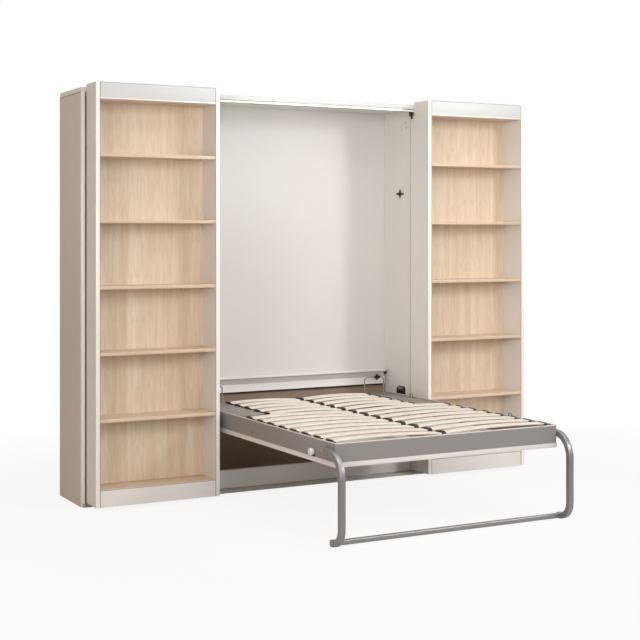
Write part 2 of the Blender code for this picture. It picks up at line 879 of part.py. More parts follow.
for side_name, sign in (("left", -1), ("right", 1)):
    rail = prism(
        side_name + "_side_rail",
        rail_profile(sign * BED_HALF_W, -sign),
        "Y",
        (world_y(BED_FOOT_D + RAIL_T + GAP), world_y(BED_HEAD_D)),
        GREY,
    )
    through = (sign * (BED_HALF_W - RAIL_T - BOARD), sign * (BED_HALF_W + BOARD))
    face = sign * (BED_HALF_W - RAIL_LIP_T)
    cut(
        rail,
        drum(
            side_name + "_bed_pin_hole",
            (0, world_y(BED_PIVOT_D), BED_PIVOT_Z),
            BED_PIN_R + PIN_PLAY,
            "X",
            through,
            GREY,
        ),
    )
    cut(
        rail,
        drum(
            side_name + "_leg_pin_hole",
            (0, world_y(LEG_PIVOT_D), LEG_PIVOT_Z),
            LEG_PIN_R + PIN_PLAY,
            "X",
            through,
            GREY,
            sides=24,
        ),
    )
    add(
        rail,
        drum(
            side_name + "_knob",
            (0, world_y(KNOB_D), KNOB_Z),
            KNOB_R,
            "X",
            (face, sign * (BED_HALF_W + KNOB_H)),
            METAL,
            sides=36,
        ),
    )
    add(
        rail,
        drum(
            side_name + "_rail_screw",
            (0, world_y(SCREW_D), SCREW_Z),
            SCREW_R,
            "X",
            (face, sign * (BED_HALF_W + SCREW_H)),
            METAL,
            sides=16,
        ),
    )
    if sign > 0:
        for index, ring_d in enumerate(RING_DS):
            ring_y = world_y(ring_d)
            foot_z = SEAT_Z - RAIL_EDGE_R
            path = [(RING_X, ring_y + RING_R, foot_z)]
            path += [
                (RING_X, y, z)
                for y, z in bend((ring_y, SEAT_Z), RING_R, 0, 180, BEND_STEPS)
            ]
            path += [(RING_X, ring_y - RING_R, foot_z)]
            mesh = sweep_mesh("strap_ring", path, circle(RING_WIRE_R, 8), (1, 0, 0))
            add(rail, own("strap_ring_" + str(index), mesh, METAL, (0, 0, 0), cutters))
    bed_parts.append(rail)

foot_y = world_y(BED_FOOT_D)
foot_outline = [
    (foot_y, RAIL_BASE),
    (foot_y, RAIL_TOP),
    (foot_y + RAIL_LIP_T, RAIL_TOP),
    (foot_y + RAIL_LIP_T, SEAT_Z),
    (foot_y + RAIL_T, SEAT_Z),
    (foot_y + RAIL_T, RAIL_BASE),
]
bed_parts.append(
    prism("foot_rail", foot_outline, "X", (-BED_HALF_W, BED_HALF_W), GREY, RAIL_EDGE_R)
)

inner_half = BED_HALF_W - RAIL_T - GAP
head_rail = box(
    "head_rail",
    (-inner_half, inner_half),
    (BED_HEAD_D - RAIL_T, BED_HEAD_D),
    (RAIL_BASE, SEAT_Z),
    GREY,
)
for side_name, sign in (("left", -1), ("right", 1)):
    hoop_y = world_y(BED_HEAD_D - RAIL_T / 2)
    low_x = sign * HOOP_X - HOOP_HALF_W
    high_x = sign * HOOP_X + HOOP_HALF_W
    foot_z = SEAT_Z - BOARD
    corner_z = HOOP_TOP - HOOP_BEND
    path = [(low_x, hoop_y, foot_z)]
    path += [
        (x, hoop_y, z)
        for x, z in bend((low_x + HOOP_BEND, corner_z), HOOP_BEND, 180, 90, FOOT_STEPS)
    ]
    path += [
        (x, hoop_y, z)
        for x, z in bend((high_x - HOOP_BEND, corner_z), HOOP_BEND, 90, 0, FOOT_STEPS)
    ]
    path += [(high_x, hoop_y, foot_z)]
    mesh = sweep_mesh("hoop", path, circle(WIRE_R, 12), (0, 1, 0))
    add(head_rail, own(side_name + "_hoop", mesh, METAL, (0, 0, 0), cutters))
    hoop_d = BED_HEAD_D - RAIL_T / 2
    clamp_x = sign * (HOOP_X + CLAMP_SHIFT)
    for block_name, half_x, half_z in (
        ("clamp", CLAMP_HALF_X, CLAMP_HALF_Z),
        ("clamp_arm", CLAMP_ARM_HALF_X, CLAMP_ARM_HALF_Z),
    ):
        add(
            head_rail,
            box(
                side_name + "_" + block_name,
                (clamp_x - half_x, clamp_x + half_x),
                (hoop_d - CLAMP_HALF_Y, hoop_d + CLAMP_HALF_Y),
                (HOOP_TOP - half_z, HOOP_TOP + half_z),
                BLACK,
                edge=0,
                collection=cutters,
            ),
        )
bed_parts.append(head_rail)

bed_parts.append(
    box(
        "centre_beam",
        (-BEAM_HALF_W, BEAM_HALF_W),
        (BED_FOOT_D + RAIL_T + GAP, BED_HEAD_D - RAIL_T - GAP),
        (HOLDER_BASE - BEAM_H, HOLDER_BASE - GAP),
        GREY,
    )
)
bed_parts.append(
    box(
        "face_panel",
        (-BED_HALF_W, BED_HALF_W),
        (BED_FOOT_D, BED_HEAD_D),
        (PANEL_BASE, PANEL_TOP),
        WHITE,
        RAIL_EDGE_R,
    )
)


# The two folded cover plates near the wall, with the ledges that carry the short slats

for side_name, sign in (("left", -1), ("right", 1)):
    front = world_y(PLATE_FRONT_D)
    back = world_y(PLATE_BACK_D)
    under = PLATE_TOP - PLATE_T
    plate_profile = [
        (sign * LEDGE_IN_X, SEAT_Z),
        (sign * LEDGE_IN_X, SEAT_Z - PLATE_LIP_H),
        (sign * (LEDGE_IN_X + PLATE_T), SEAT_Z - PLATE_LIP_H),
        (sign * (LEDGE_IN_X + PLATE_T), SEAT_Z - PLATE_T),
        (sign * (PLATE_IN_X + PLATE_T), SEAT_Z - PLATE_T),
        (sign * (PLATE_IN_X + PLATE_T), under),
        (sign * PLATE_OUT_X, under),
        (sign * PLATE_OUT_X, PLATE_TOP),
        (sign * PLATE_IN_X, PLATE_TOP),
        (sign * PLATE_IN_X, SEAT_Z),
    ]
    plate = prism(
        side_name + "_cover_plate", plate_profile, "Y", (front, back), GREY, edge=0
    )
    edge_y = world_y(LAST_SHORT_D)
    front_outline = [
        (sign * (PLATE_IN_X - PLATE_CORNER), front - PLATE_CORNER),
        (sign * (PLATE_OUT_X + PLATE_CORNER), front - PLATE_CORNER),
        (sign * (PLATE_OUT_X + PLATE_CORNER), edge_y + PLATE_CORNER),
        (sign * PLATE_OUT_X, edge_y + PLATE_CORNER),
        (sign * (PLATE_OUT_X - PLATE_CORNER), edge_y),
        (sign * (PLATE_IN_X - PLATE_CORNER), edge_y),
    ]
    cut(
        plate,
        prism(
            side_name + "_plate_front",
            front_outline,
            "Z",
            (SEAT_Z + PLATE_STUMP, PLATE_TOP + PLATE_CORNER),
            GREY,
            edge=0,
            collection=cutters,
        ),
    )
    for number in range(TAB_COUNT):
        tab_d = SLAT_FIRST_D - SLAT_PITCH / 2 - SLAT_PITCH * number
        tab_y = world_y(tab_d)
        drop = [
            (sign * (PLATE_OUT_X - PLATE_CORNER), under),
            (sign * (TAB_OUT_X - PLATE_T), under),
            (sign * (TAB_OUT_X - PLATE_T), SEAT_Z + GAP),
            (sign * TAB_OUT_X, SEAT_Z + GAP),
            (sign * TAB_OUT_X, PLATE_TOP),
            (sign * (PLATE_OUT_X - PLATE_CORNER), PLATE_TOP),
        ]
        mesh = prism_mesh("tab", drop, "Y", (tab_y - TAB_HALF_W, tab_y + TAB_HALF_W))
        tab_name = side_name + "_plate_tab_" + str(number)
        add(plate, own(tab_name, mesh, GREY, (0, 0, 0), cutters))
    for number in range(POST_COUNT):
        post_d = LAST_SHORT_D + SLAT_PITCH * number * (SHORT_ROWS // POST_COUNT)
        add(
            plate,
            box(
                side_name + "_plate_post_" + str(number),
                (sign * LEDGE_IN_X, sign * (LEDGE_IN_X + POST_W)),
                (post_d - POST_W / 2, post_d + POST_W / 2),
                (PANEL_TOP + GAP, SEAT_Z - PLATE_T / 2),
                GREY,
                edge=0,
                collection=cutters,
            ),
        )
    bed_parts.append(plate)


def arch(share):
    """How far a slat rises above its ends, at a share of its length."""
    return SLAT_RISE * 4 * share * (1 - share)


def slat_outline(sign, end_x):
    """The long edge of one arched slat, from the centre holder to its end cap."""
    under = []
    over = []
    for step in range(SLAT_STEPS + 1):
        share = step / SLAT_STEPS
        x = sign * (SLAT_NEAR_X + (end_x - SLAT_NEAR_X) * share)
        base = HOLDER_BASE + HOLDER_DROP * share + SLAT_LIFT + arch(share)
        under.append((x, base))
        over.append((x, base + SLAT_T))
    return under + list(reversed(over))


def block(name, xs, half_y, zs):
    shape = bmesh.new()
    size = Vector((abs(xs[1] - xs[0]), 2 * half_y, zs[1] - zs[0]))
    bmesh.ops.create_cube(shape, size=1.0, matrix=Matrix.Diagonal(size.to_4d()))
    mesh = bpy.data.meshes.new(name)
    shape.to_mesh(mesh)
    shape.free()
    place = ((xs[0] + xs[1]) / 2, 0, (zs[0] + zs[1]) / 2)
    return round_edges(own(name, mesh, BLACK, place, cutters), HOLDER_R)


def row_of_slats(name, cap_out_x):
    """Two arched slats with their end caps and the centre holder, as one mesh."""
    holder_x = (-HOLDER_HALF_X, HOLDER_HALF_X)
    holder_z = (HOLDER_BASE, HOLDER_BASE + HOLDER_H)
    seed = block(name, holder_x, HOLDER_W / 2, holder_z)
    for side, sign in (("left", -1), ("right", 1)):
        outline = slat_outline(sign, cap_out_x - CAP_COVER)
        mesh = prism_mesh("slat", outline, "Y", (-SLAT_W / 2, SLAT_W / 2))
        add(seed, own(name + "_" + side + "_slat", mesh, BEECH, (0, 0, 0), cutters))
        add(
            seed,
            block(
                name + "_" + side + "_cap",
                (sign * (cap_out_x - CAP_L), sign * cap_out_x),
                CAP_W / 2,
                (SEAT_Z + GAP, SEAT_Z + GAP + CAP_H),
            ),
        )
    return baked(seed)


short_row = row_of_slats("short_row", SHORT_CAP_OUT_X)
long_row = row_of_slats("long_row", CAP_OUT_X)
for number in range(SLAT_ROWS):
    depth = SLAT_FIRST_D - SLAT_PITCH * number
    row_name = "slat_row_" + str(number + 1).zfill(2)
    row_mesh = short_row if number < SHORT_ROWS else long_row
    bed_parts.append(own(row_name, row_mesh.copy(), BEECH, (0, world_y(depth), 0)))

for piece in bed_parts:
    hang(piece, bed_axis)

# The folding leg, which turns about two pins in the side rails

leg_axis = joint("leg_fold", LEG_PIVOT_D, LEG_PIVOT_Z)
front_y = world_y(LEG_FRONT_D)
start_y = world_y(LEG_PIVOT_D + LEG_START_BACK)
side_path = [(start_y, LEG_PIVOT_Z)]
side_path += bend(
    (front_y + LEG_TOP_BEND, LEG_PIVOT_Z - LEG_TOP_BEND), LEG_TOP_BEND, 90, 180, BEND_STEPS
)
side_path += bend(
    (front_y + LEG_FOOT_BEND, LEG_BAR_Z + LEG_FOOT_BEND), LEG_FOOT_BEND, 180, 270, FOOT_STEPS
)
whole_path = [(-LEG_X, y, z) for y, z in side_path]
whole_path += [(LEG_X, y, z) for y, z in reversed(side_path)]
tube = rounded_square(TUBE, TUBE_CORNER, 3)
leg = own(
    "leg_frame", sweep_mesh("leg_frame", whole_path, tube, (1, 0, 0)), SILVER, (0, 0, 0)
)
for side_name, sign in (("left", -1), ("right", 1)):
    add(
        leg,
        drum(
            side_name + "_leg_pin",
            (0, world_y(LEG_PIVOT_D), LEG_PIVOT_Z),
            LEG_PIN_R,
            "X",
            (sign * (LEG_IN_X - LEG_PIN_L), sign * LEG_X),
            SILVER,
            sides=24,
        ),
    )
hang(leg, leg_axis)
leg_axis.parent = bed_axis
leg_axis.location -= bed_axis.location
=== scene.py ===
import math

import bmesh
import bpy
from mathutils import Matrix, Vector


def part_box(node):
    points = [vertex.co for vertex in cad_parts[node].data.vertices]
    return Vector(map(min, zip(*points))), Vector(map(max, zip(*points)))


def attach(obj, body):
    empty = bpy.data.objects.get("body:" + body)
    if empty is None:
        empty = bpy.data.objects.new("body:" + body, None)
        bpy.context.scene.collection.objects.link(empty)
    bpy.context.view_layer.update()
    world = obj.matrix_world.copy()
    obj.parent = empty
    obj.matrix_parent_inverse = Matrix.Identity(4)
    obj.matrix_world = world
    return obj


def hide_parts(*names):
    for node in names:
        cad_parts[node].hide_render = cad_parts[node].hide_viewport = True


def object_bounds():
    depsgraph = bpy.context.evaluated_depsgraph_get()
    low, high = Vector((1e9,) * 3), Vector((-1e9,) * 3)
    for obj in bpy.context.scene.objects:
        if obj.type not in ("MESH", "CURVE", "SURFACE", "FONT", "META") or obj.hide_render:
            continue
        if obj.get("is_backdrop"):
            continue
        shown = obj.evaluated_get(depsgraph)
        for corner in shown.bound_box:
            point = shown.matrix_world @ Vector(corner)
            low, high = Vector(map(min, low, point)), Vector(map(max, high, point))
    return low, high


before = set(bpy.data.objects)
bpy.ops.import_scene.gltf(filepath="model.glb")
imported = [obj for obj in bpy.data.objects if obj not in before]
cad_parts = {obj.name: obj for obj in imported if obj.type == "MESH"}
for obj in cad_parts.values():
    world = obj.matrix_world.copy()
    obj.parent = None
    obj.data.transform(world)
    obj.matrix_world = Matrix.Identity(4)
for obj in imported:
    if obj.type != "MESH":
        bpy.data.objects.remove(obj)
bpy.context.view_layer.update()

MM = 0.001
SIDES = (("left", -1), ("right", 1))


# Colour and nodes


def linear(code):
    """The linear colour of an sRGB hex value."""
    out = []
    for start in (1, 3, 5):
        value = int(code[start : start + 2], 16) / 255
        out.append(value / 12.92 if value <= 0.04045 else ((value + 0.055) / 1.055) ** 2.4)
    return (*out, 1.0)


def add(tree, kind, values=()):
    """One node. Its kind leaves out the word ShaderNode, for a node of a material or the world.
    A value sets an option or an input, or is the node or socket that feeds an input. A colour is
    an sRGB hex value."""
    named_in_full = kind.startswith(("Geometry", "NodeGroup"))
    made = tree.nodes.new(kind if named_in_full else "ShaderNode" + kind)
    for key, value in dict(values).items():
        if isinstance(key, int):
            found = [made.inputs[key]]
        else:
            found = [socket for socket in made.inputs if socket.enabled and socket.name == key]
        if isinstance(value, bpy.types.Node):
            value = next(socket for socket in value.outputs if socket.enabled)
        if isinstance(value, bpy.types.NodeSocket):
            tree.links.new(value, found[0])
        elif found:
            found[0].default_value = linear(value) if str(value).startswith("#") else value
        else:
            setattr(made, key, value)
    return made


def emptied(owner):
    """The node tree of a material or a world, with nothing in it."""
    owner.use_nodes = True
    owner.node_tree.nodes.clear()
    return owner.node_tree


def started(name):
    """A new material and its empty tree."""
    made = bpy.data.materials.new(name)
    return made, emptied(made)


def placed(tree, scale=(1, 1, 1), turn=(0, 0, 0)):
    """Object coordinates, stretched and turned for a pattern."""
    where = add(tree, "TexCoord").outputs["Object"]
    return add(tree, "Mapping", {"Scale": scale, "Rotation": turn, "Vector": where})


def finished(made, tint, gloss, relief, **settings):
    """Closes a material. Its gloss is one roughness, or two that a pattern runs between, and its
    relief is a pattern with a strength and a depth in millimetres."""
    tree = made.node_tree
    if isinstance(gloss, tuple):
        low, high, pattern = gloss
        gloss = add(tree, "MapRange", {"To Min": low, "To Max": high, "Value": pattern})
    pattern, strength, depth = relief
    bump = add(tree, "Bump", {"Strength": strength, "Distance": depth * MM, "Height": pattern})
    values = {"Base Color": tint, "Roughness": gloss, "Normal": bump, **settings}
    add(tree, "OutputMaterial", {"Surface": add(tree, "BsdfPrincipled", values)})
    return made


# The finishes: a function says what each real surface is and what it gives the eye


def melamine(name, light, dark):
    """Melamine-faced chipboard, pressed with a fine pearl: soft sheen, no grain."""
    made, tree = started(name)
    cloud = add(tree, "TexNoise", {"Scale": 1.4, "Vector": placed(tree)})
    # The pearl is about 0.4 mm on the real board, and is drawn 2 mm wide so that it shows
    pearl = add(tree, "TexNoise", {"Scale": 480.0, "Vector": placed(tree)})
    tint = add(tree, "Mix", {"data_type": "RGBA", "Factor": cloud, "A": light, "B": dark})
    return finished(made, tint, (0.38, 0.52, pearl), (pearl, 0.35, 0.06), IOR=1.5)


def edging(name, light, dark):
    """PVC strip, about 1 mm thick, for edgings, and for strips that paint joint shadows and highlights:
    glossier than the board.
    """
    made, tree = started(name)
    wave_look = {"Scale": 30.0, "Detail": 1.0, "Vector": placed(tree, (1, 1, 0.2))}
    wave = add(tree, "TexNoise", wave_look)
    tint = add(tree, "Mix", {"data_type": "RGBA", "Factor": wave, "A": light, "B": dark})
    return finished(made, tint, 0.3, (wave, 0.2, 0.1), IOR=1.53)


def maple(name, turn, light, middle, dark):
    """Maple-print melamine: planks of 118 mm with straight soft bands, faint rings and fine fibres."""
    plank_width = 118 * MM
    made, tree = started(name)
    grain = placed(tree, (1, 1, 1), turn)
    parts = add(tree, "SeparateXYZ", {"Vector": grain}).outputs
    across = add(tree, "Math", {"operation": "MULTIPLY", 0: parts["X"], 1: 1 / plank_width})
    plank = add(tree, "Math", {"operation": "FLOOR", 0: across})
    chance = add(tree, "TexWhiteNoise", {"noise_dimensions": "1D", "W": plank})
    shift = add(tree, "Math", {"operation": "MULTIPLY", 0: chance, 1: 7.3})
    along = add(tree, "Math", {"operation": "ADD", 0: parts["Z"], 1: shift})
    # Rings come from one plank's centre line, so each plank has its own cathedrals
    inside = add(tree, "Math", {"operation": "FRACT", 0: across})
    centred = add(tree, "Math", {"operation": "SUBTRACT", 0: inside, 1: 0.5})
    spread = add(tree, "Math", {"operation": "ABSOLUTE", 0: centred})
    spot = add(tree, "CombineXYZ", {"X": spread, "Y": chance, "Z": along})
    tall = add(tree, "Mapping", {"Scale": (1.1, 3.0, 1.3), "Vector": spot})
    swell_look = {"Scale": 1.6, "Detail": 3.0, "Roughness": 0.45, "Vector": tall}
    swell = add(tree, "TexNoise", swell_look)
    rings = add(tree, "Math", {"operation": "MULTIPLY", 0: swell, 1: 52.0})
    ripple = add(tree, "Math", {"operation": "SINE", 0: rings})
    line = add(tree, "MapRange", {"From Min": 0.1, "To Max": 0.15, "Value": ripple})
    # Fibres are about 0.5 mm wide, drawn at 2 mm
    fine = add(tree, "Mapping", {"Scale": (260.0, 260.0, 5.0), "Vector": grain})
    fibre_look = {"Scale": 1.0, "Detail": 3.0, "Roughness": 0.6, "Vector": fine}
    fibres = add(tree, "TexNoise", fibre_look)
    # Straight soft bands, some 40 mm wide, run through the planks
    drawn = add(tree, "Mapping", {"Scale": (24.0, 24.0, 0.9), "Vector": grain})
    band_look = {"Scale": 1.0, "Detail": 4.0, "Roughness": 0.6, "Vector": drawn}
    bands = add(tree, "TexNoise", band_look)
    band = add(tree, "MapRange", {"From Min": 0.36, "From Max": 0.64, "Value": bands})
    share = add(tree, "MapRange", {"To Min": 0.08, "To Max": 0.48, "Value": chance})
    tone = add(tree, "Math", {"operation": "MULTIPLY_ADD", 0: band, 1: 0.42, 2: share})
    banded = add(tree, "Mix", {"data_type": "RGBA", "Factor": tone, "A": light, "B": middle})
    ringed = add(tree, "Mix", {"data_type": "RGBA", "Factor": line, "A": banded, "B": dark})
    fleck_run = {"From Min": 0.35, "From Max": 0.75, "To Max": 0.22, "Value": fibres}
    flecks = add(tree, "MapRange", fleck_run)
    tint = add(tree, "Mix", {"data_type": "RGBA", "Factor": flecks, "A": ringed, "B": dark})
    return finished(made, tint, (0.42, 0.58, fibres), (fibres, 0.25, 0.08), IOR=1.5)


def brown_fibreboard():
    """Brown-faced hardboard behind the bed head: flat, dull, faintly cloudy."""
    made, tree = started("brown_hardboard")
    cloud_look = {"Scale": 6.0, "Detail": 6.0, "Roughness": 0.65, "Vector": placed(tree, (1, 1, 3))}
    cloud = add(tree, "TexNoise", cloud_look)
    mixture = {"data_type": "RGBA", "Factor": cloud, "A": "#9A8676", "B": "#88755F"}
    return finished(made, add(tree, "Mix", mixture), 0.62, (cloud, 0.3, 0.1))


def painted(name, light, dark, roughness, metallic, peel, depth):
    """Baked paint on steel: a satin sheen, and an orange peel of a width and depth in millimetres."""
    made, tree = started(name)
    skin = add(tree, "TexNoise", {"Scale": 1 / (peel * MM), "Vector": placed(tree)})
    cloud = add(tree, "TexNoise", {"Scale": 5.0, "Detail": 3.0, "Vector": placed(tree)})
    tint = add(tree, "Mix", {"data_type": "RGBA", "Factor": cloud, "A": light, "B": dark})
    gloss = (roughness - 0.06, roughness + 0.06, cloud)
    return finished(made, tint, gloss, (skin, 0.4, depth), IOR=1.5, Metallic=metallic)


def drawn_metal(name, light, dark, roughness, lines):
    """Bare metal with fine lines along its length, from drawing, rolling or brushing."""
    made, tree = started(name)
    streak_look = {"Scale": 1.0, "Detail": 3.0, "Vector": placed(tree, lines)}
    streak = add(tree, "TexNoise", streak_look)
    tint = add(tree, "Mix", {"data_type": "RGBA", "Factor": streak, "A": light, "B": dark})
    gloss = (roughness - 0.07, roughness + 0.09, streak)
    return finished(made, tint, gloss, (streak, 0.2, 0.03), Metallic=1.0)


def moulded_black():
    """Black ABS or polypropylene, moulded with a spark-eroded grain about 1 mm across."""
    made, tree = started("moulded_black_plastic")
    pits = add(tree, "TexVoronoi", {"Scale": 900.0, "Vector": placed(tree)})
    cloud = add(tree, "TexNoise", {"Scale": 40.0, "Vector": placed(tree)})
    tint = add(tree, "Mix", {"data_type": "RGBA", "Factor": cloud, "A": "#1C1916", "B": "#12100E"})
    return finished(made, tint, (0.36, 0.52, cloud), (pits, 0.3, 0.08), IOR=1.46)


def slat_beech():
    """Laminated beech veneer, sanded and clear-lacquered: pale, with fine streaks along the slat."""
    ply = 1.33 * MM
    made, tree = started("laminated_beech")
    narrow = placed(tree, (3.0, 170.0, 170.0))
    fine_look = {"Scale": 1.0, "Detail": 4.0, "Roughness": 0.6, "Vector": narrow}
    fine = add(tree, "TexNoise", fine_look)
    broad = add(tree, "TexNoise", {"Scale": 1.0, "Vector": placed(tree, (1.2, 22.0, 5.0))})
    body = add(tree, "Mix", {"data_type": "RGBA", "Factor": broad, "A": "#FCF6EC", "B": "#F6EDDF"})
    streak_run = {"From Min": 0.45, "From Max": 0.8, "To Max": 0.5, "Value": fine}
    streaks = add(tree, "MapRange", streak_run)
    streaked = add(tree, "Mix", {"data_type": "RGBA", "Factor": streaks, "A": body, "B": "#E3D4BA"})
    # The cut edges show the plies, about 1.3 mm each, as thin darker glue lines
    source = {"attribute_name": "layer", "attribute_type": "GEOMETRY"}
    layer = add(tree, "Attribute", source).outputs["Fac"]
    stack = add(tree, "Math", {"operation": "MULTIPLY", 0: layer, 1: 2 * math.pi / ply})
    wave = add(tree, "Math", {"operation": "SINE", 0: stack})
    glue = add(tree, "MapRange", {"From Min": 0.5, "To Max": 0.45, "Value": wave})
    facing = add(tree, "NewGeometry").outputs["True Normal"]
    parts = add(tree, "SeparateXYZ", {"Vector": facing}).outputs
    upright = add(tree, "Math", {"operation": "ABSOLUTE", 0: parts["Y"]})
    on_edge = add(tree, "Math", {"operation": "MULTIPLY", 0: upright, 1: glue})
    tint = add(tree, "Mix", {"data_type": "RGBA", "Factor": on_edge, "A": streaked, "B": "#B79467"})
    return finished(made, tint, (0.34, 0.5, fine), (fine, 0.25, 0.08), IOR=1.5)


WHITE = melamine("melamine_white", "#E6E3DF", "#E0DCD7")
# The cabinet sides take a darker, warmer copy of the white as painted shade; the headers and the
# top's front edge a cooler one, the back panel a duller one, and the cove under the head ledge a grey copy
# as painted shadow under the ledge
PAINTED_SIDE_SHADE = melamine("melamine_painted_side_shade", "#D6CABD", "#CFC2B4")
PAINTED_COVE_SHADOW = melamine("melamine_painted_cove_shadow", "#C6C2BE", "#BFBBB6")
COOL_WHITE = melamine("melamine_cool_white", "#D6D7D5", "#D1D1CF")
BACK_WHITE = melamine("melamine_back_board", "#D6D3CF", "#D0CDC9")
EDGING = edging("pvc_edging_white", "#F7F4F0", "#F1EDE8")
PANEL_EDGING = edging("pvc_edging_dull", "#E0DBD8", "#D8D3CF")
MAPLE_UP = maple("maple_melamine_upright", (0, 0, 0), "#EBDFCE", "#D2B99A", "#B5916B")
QUARTER_TURN = (0, math.pi / 2, 0)
MAPLE_ALONG = maple("maple_melamine_along", QUARTER_TURN, "#DFCBB8", "#D2B99E", "#B59372")
BROWN = brown_fibreboard()
RAIL_GREY = painted("grey_powder_coat", "#918D8A", "#8A8683", 0.44, 0.15, 1.6, 0.06)
PLATE_GREY = painted("grey_plate_paint", "#96918C", "#8E8984", 0.4, 0.2, 1.6, 0.05)
TUBE_GREY = painted("silver_tube_lacquer", "#969593", "#8A8988", 0.32, 0.62, 1.2, 0.02)
KNOB_SILVER = painted("satin_silver_cap", "#ECE8E4", "#E2DDD8", 0.36, 0.2, 0.8, 0.02)
HOOP_GREY = painted("bronze_wire_lacquer", "#A89E95", "#978C82", 0.3, 0.3, 0.9, 0.02)
LIP_HIGHLIGHT_PALE = edging("pale_lip_trim", "#E4E1DE", "#DAD6D2")
GAP_SHADOW = edging("painted_gap_shadow_brown", "#8C7B6E", "#7F6F62")
DARK_GAP_SHADOW = edging("painted_gap_shadow_dark", "#6A5D55", "#5F534C")
STEEL = drawn_metal("bright_zinc_steel", "#CFCDC9", "#BDBAB5", 0.24, (300, 300, 40))
ALUMINIUM = drawn_metal("anodised_aluminium", "#C6C1B9", "#B5AFA6", 0.34, (2, 420, 420))
BLACK = moulded_black()
BEECH = slat_beech()


# Mesh work, in millimetres: a finished mesh is scaled to metres


def at_axis(point, along, axis):
    """A point from two coordinates in a plane and one along the axis."""
    place = list(point)
    place.insert("XYZ".index(axis), along)
    return Vector(place)


def arc(centre, radius, start, end, steps):
    """Points round part of a circle, from one angle to another in degrees."""
    out = []
    for k in range(steps + 1):
        angle = math.radians(start + (end - start) * k / steps)
        out.append((centre[0] + radius * math.cos(angle), centre[1] + radius * math.sin(angle)))
    return out


def round_section(radius, count):
    """A round bar's outline."""
    return arc((0, 0), radius, 0, 360, count)[:-1]


def box_section(width, depth, corner, steps):
    """A box tube's outline with rounded corners."""
    a, b = width / 2 - corner, depth / 2 - corner
    out = []
    for quarter, centre in enumerate(((a, b), (-a, b), (-a, -b), (a, -b))):
        out += arc(centre, corner, 90 * quarter, 90 * (quarter + 1), steps)
    return out


def shifted(points, across, up):
    """Points of an outline, moved to a place."""
    return [(across + a, up + b) for a, b in points]


class Form:
    """Mesh work that becomes one piece. Blocks, prisms and the like return the form itself."""

    def __init__(self):
        self.work = bmesh.new()

    def round_edges(self, corners, edge, steps):
        """Rounds every edge that meets the corners."""
        if edge:
            bmesh.ops.bevel(
                self.work,
                geom=list({side for corner in corners for side in corner.link_edges}),
                offset=edge,
                offset_type="OFFSET",
                segments=steps,
                profile=0.5,
                affect="EDGES",
                clamp_overlap=True,
            )
        return self

    def block(self, low, high, edge=0.0, steps=2):
        """A block between two opposite corners."""
        low, high = (Vector(ends) for ends in zip(*(sorted(pair) for pair in zip(low, high))))
        place = Matrix.Translation((low + high) / 2) @ Matrix.Diagonal((*(high - low), 1))
        made = bmesh.ops.create_cube(self.work, size=1.0, matrix=place)
        return self.round_edges(made["verts"], edge, steps)

    def skin(self, rings):
        """Faces from each ring of places to the next, and over both ends."""
        rings = [[self.work.verts.new(place) for place in ring] for ring in rings]
        for first, second in zip(rings, rings[1:]):
            for k in range(len(first)):
                j = (k + 1) % len(first)
                self.work.faces.new((first[k], first[j], second[j], second[k]))
        self.work.faces.new(list(reversed(rings[0])))
        self.work.faces.new(rings[-1])
        return rings

    def prism(self, outline, axis, start, end, edge=0.0, steps=2):
        """An outline pushed along an axis."""
        rings = self.skin([[at_axis(p, along, axis) for p in outline] for along in (start, end)])
        return self.round_edges(rings[0] + rings[1], edge, steps)

    def turned(self, profile, centre, axis, sign=1, count=40):
        """A turned form: pairs of radius and height, about an axis through the centre."""
        centre = Vector(centre)
        rings = []
        for radius, height in profile:
            flat = round_section(radius, count) if radius else [(0, 0)]
            places = [centre + at_axis(point, sign * height, axis) for point in flat]
            rings.append([self.work.verts.new(place) for place in places])
        for first, second in zip(rings, rings[1:]):
            for k in range(count):
                a, b = first[k % len(first)], first[(k + 1) % len(first)]
                c, d = second[(k + 1) % len(second)], second[k % len(second)]
                loop = list(dict.fromkeys((a, b, c, d)))
                if len(loop) > 2:
                    self.work.faces.new(loop)
        for ring in (rings[0], rings[-1]):
            if len(ring) > 2:
                self.work.faces.new(ring)
        return self

    def sweep(self, path, section, across):
        """A section carried along a path, mitred at each point; across is square to the start."""
        path = [Vector(p) for p in path]
        across = Vector(across).normalized()
        heading = (path[1] - path[0]).normalized()
        side = (across - heading * across.dot(heading)).normalized()
        rings = []
        for i, point in enumerate(path):
            before = (point - path[i - 1]).normalized() if i else heading
            after = (path[i + 1] - point).normalized() if i < len(path) - 1 else before
            if i:
                side = heading.rotation_difference(before) @ side
                heading = before
            up = heading.cross(side)
            mitre = (before + after).normalized()
            corners = [point + side * a + up * b for a, b in section]
            slides = [(point - corner).dot(mitre) / before.dot(mitre) for corner in corners]
            rings.append([corner + before * slide for corner, slide in zip(corners, slides)])
        self.skin(rings)
        return self

    def mesh(self, name, degrees=32):
        """The mesh in metres: smooth, with edges sharper than the angle kept crisp."""
        made = bpy.data.meshes.new(name)
        bmesh.ops.scale(self.work, vec=(MM, MM, MM), verts=self.work.verts)
        bmesh.ops.recalc_face_normals(self.work, faces=self.work.faces[:])
        self.work.to_mesh(made)
        self.work.clear()
        self.work.from_mesh(made)
        limit = math.radians(degrees)
        for face in self.work.faces:
            face.smooth = True
        for edge in self.work.edges:
            edge.smooth = len(edge.link_faces) == 2 and edge.calc_face_angle(0) < limit
        self.work.to_mesh(made)
        self.work.free()
        return made

    def piece(self, name, finish, body, slot, stands_for=(), degrees=32):
        """Ends the form as a piece that rides on a body."""
        mesh = self.mesh(name, degrees)
        mesh.materials.append(finish)
        return mounted(name, mesh, body, stands_for)


def linked(name, data):
    """A new object in the scene."""
    made = bpy.data.objects.new(name, data)
    bpy.context.scene.collection.objects.link(made)
    return made


def mounted(name, mesh, body, stands_for):
    """An object that rides on a body and the CAD nodes that it stands for."""
    made = linked(name, mesh)
    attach(made, body)
    if stands_for:
        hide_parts(*stands_for)
    return made


# Geometry Nodes: one tree sets a copy of a small form at each step of a row


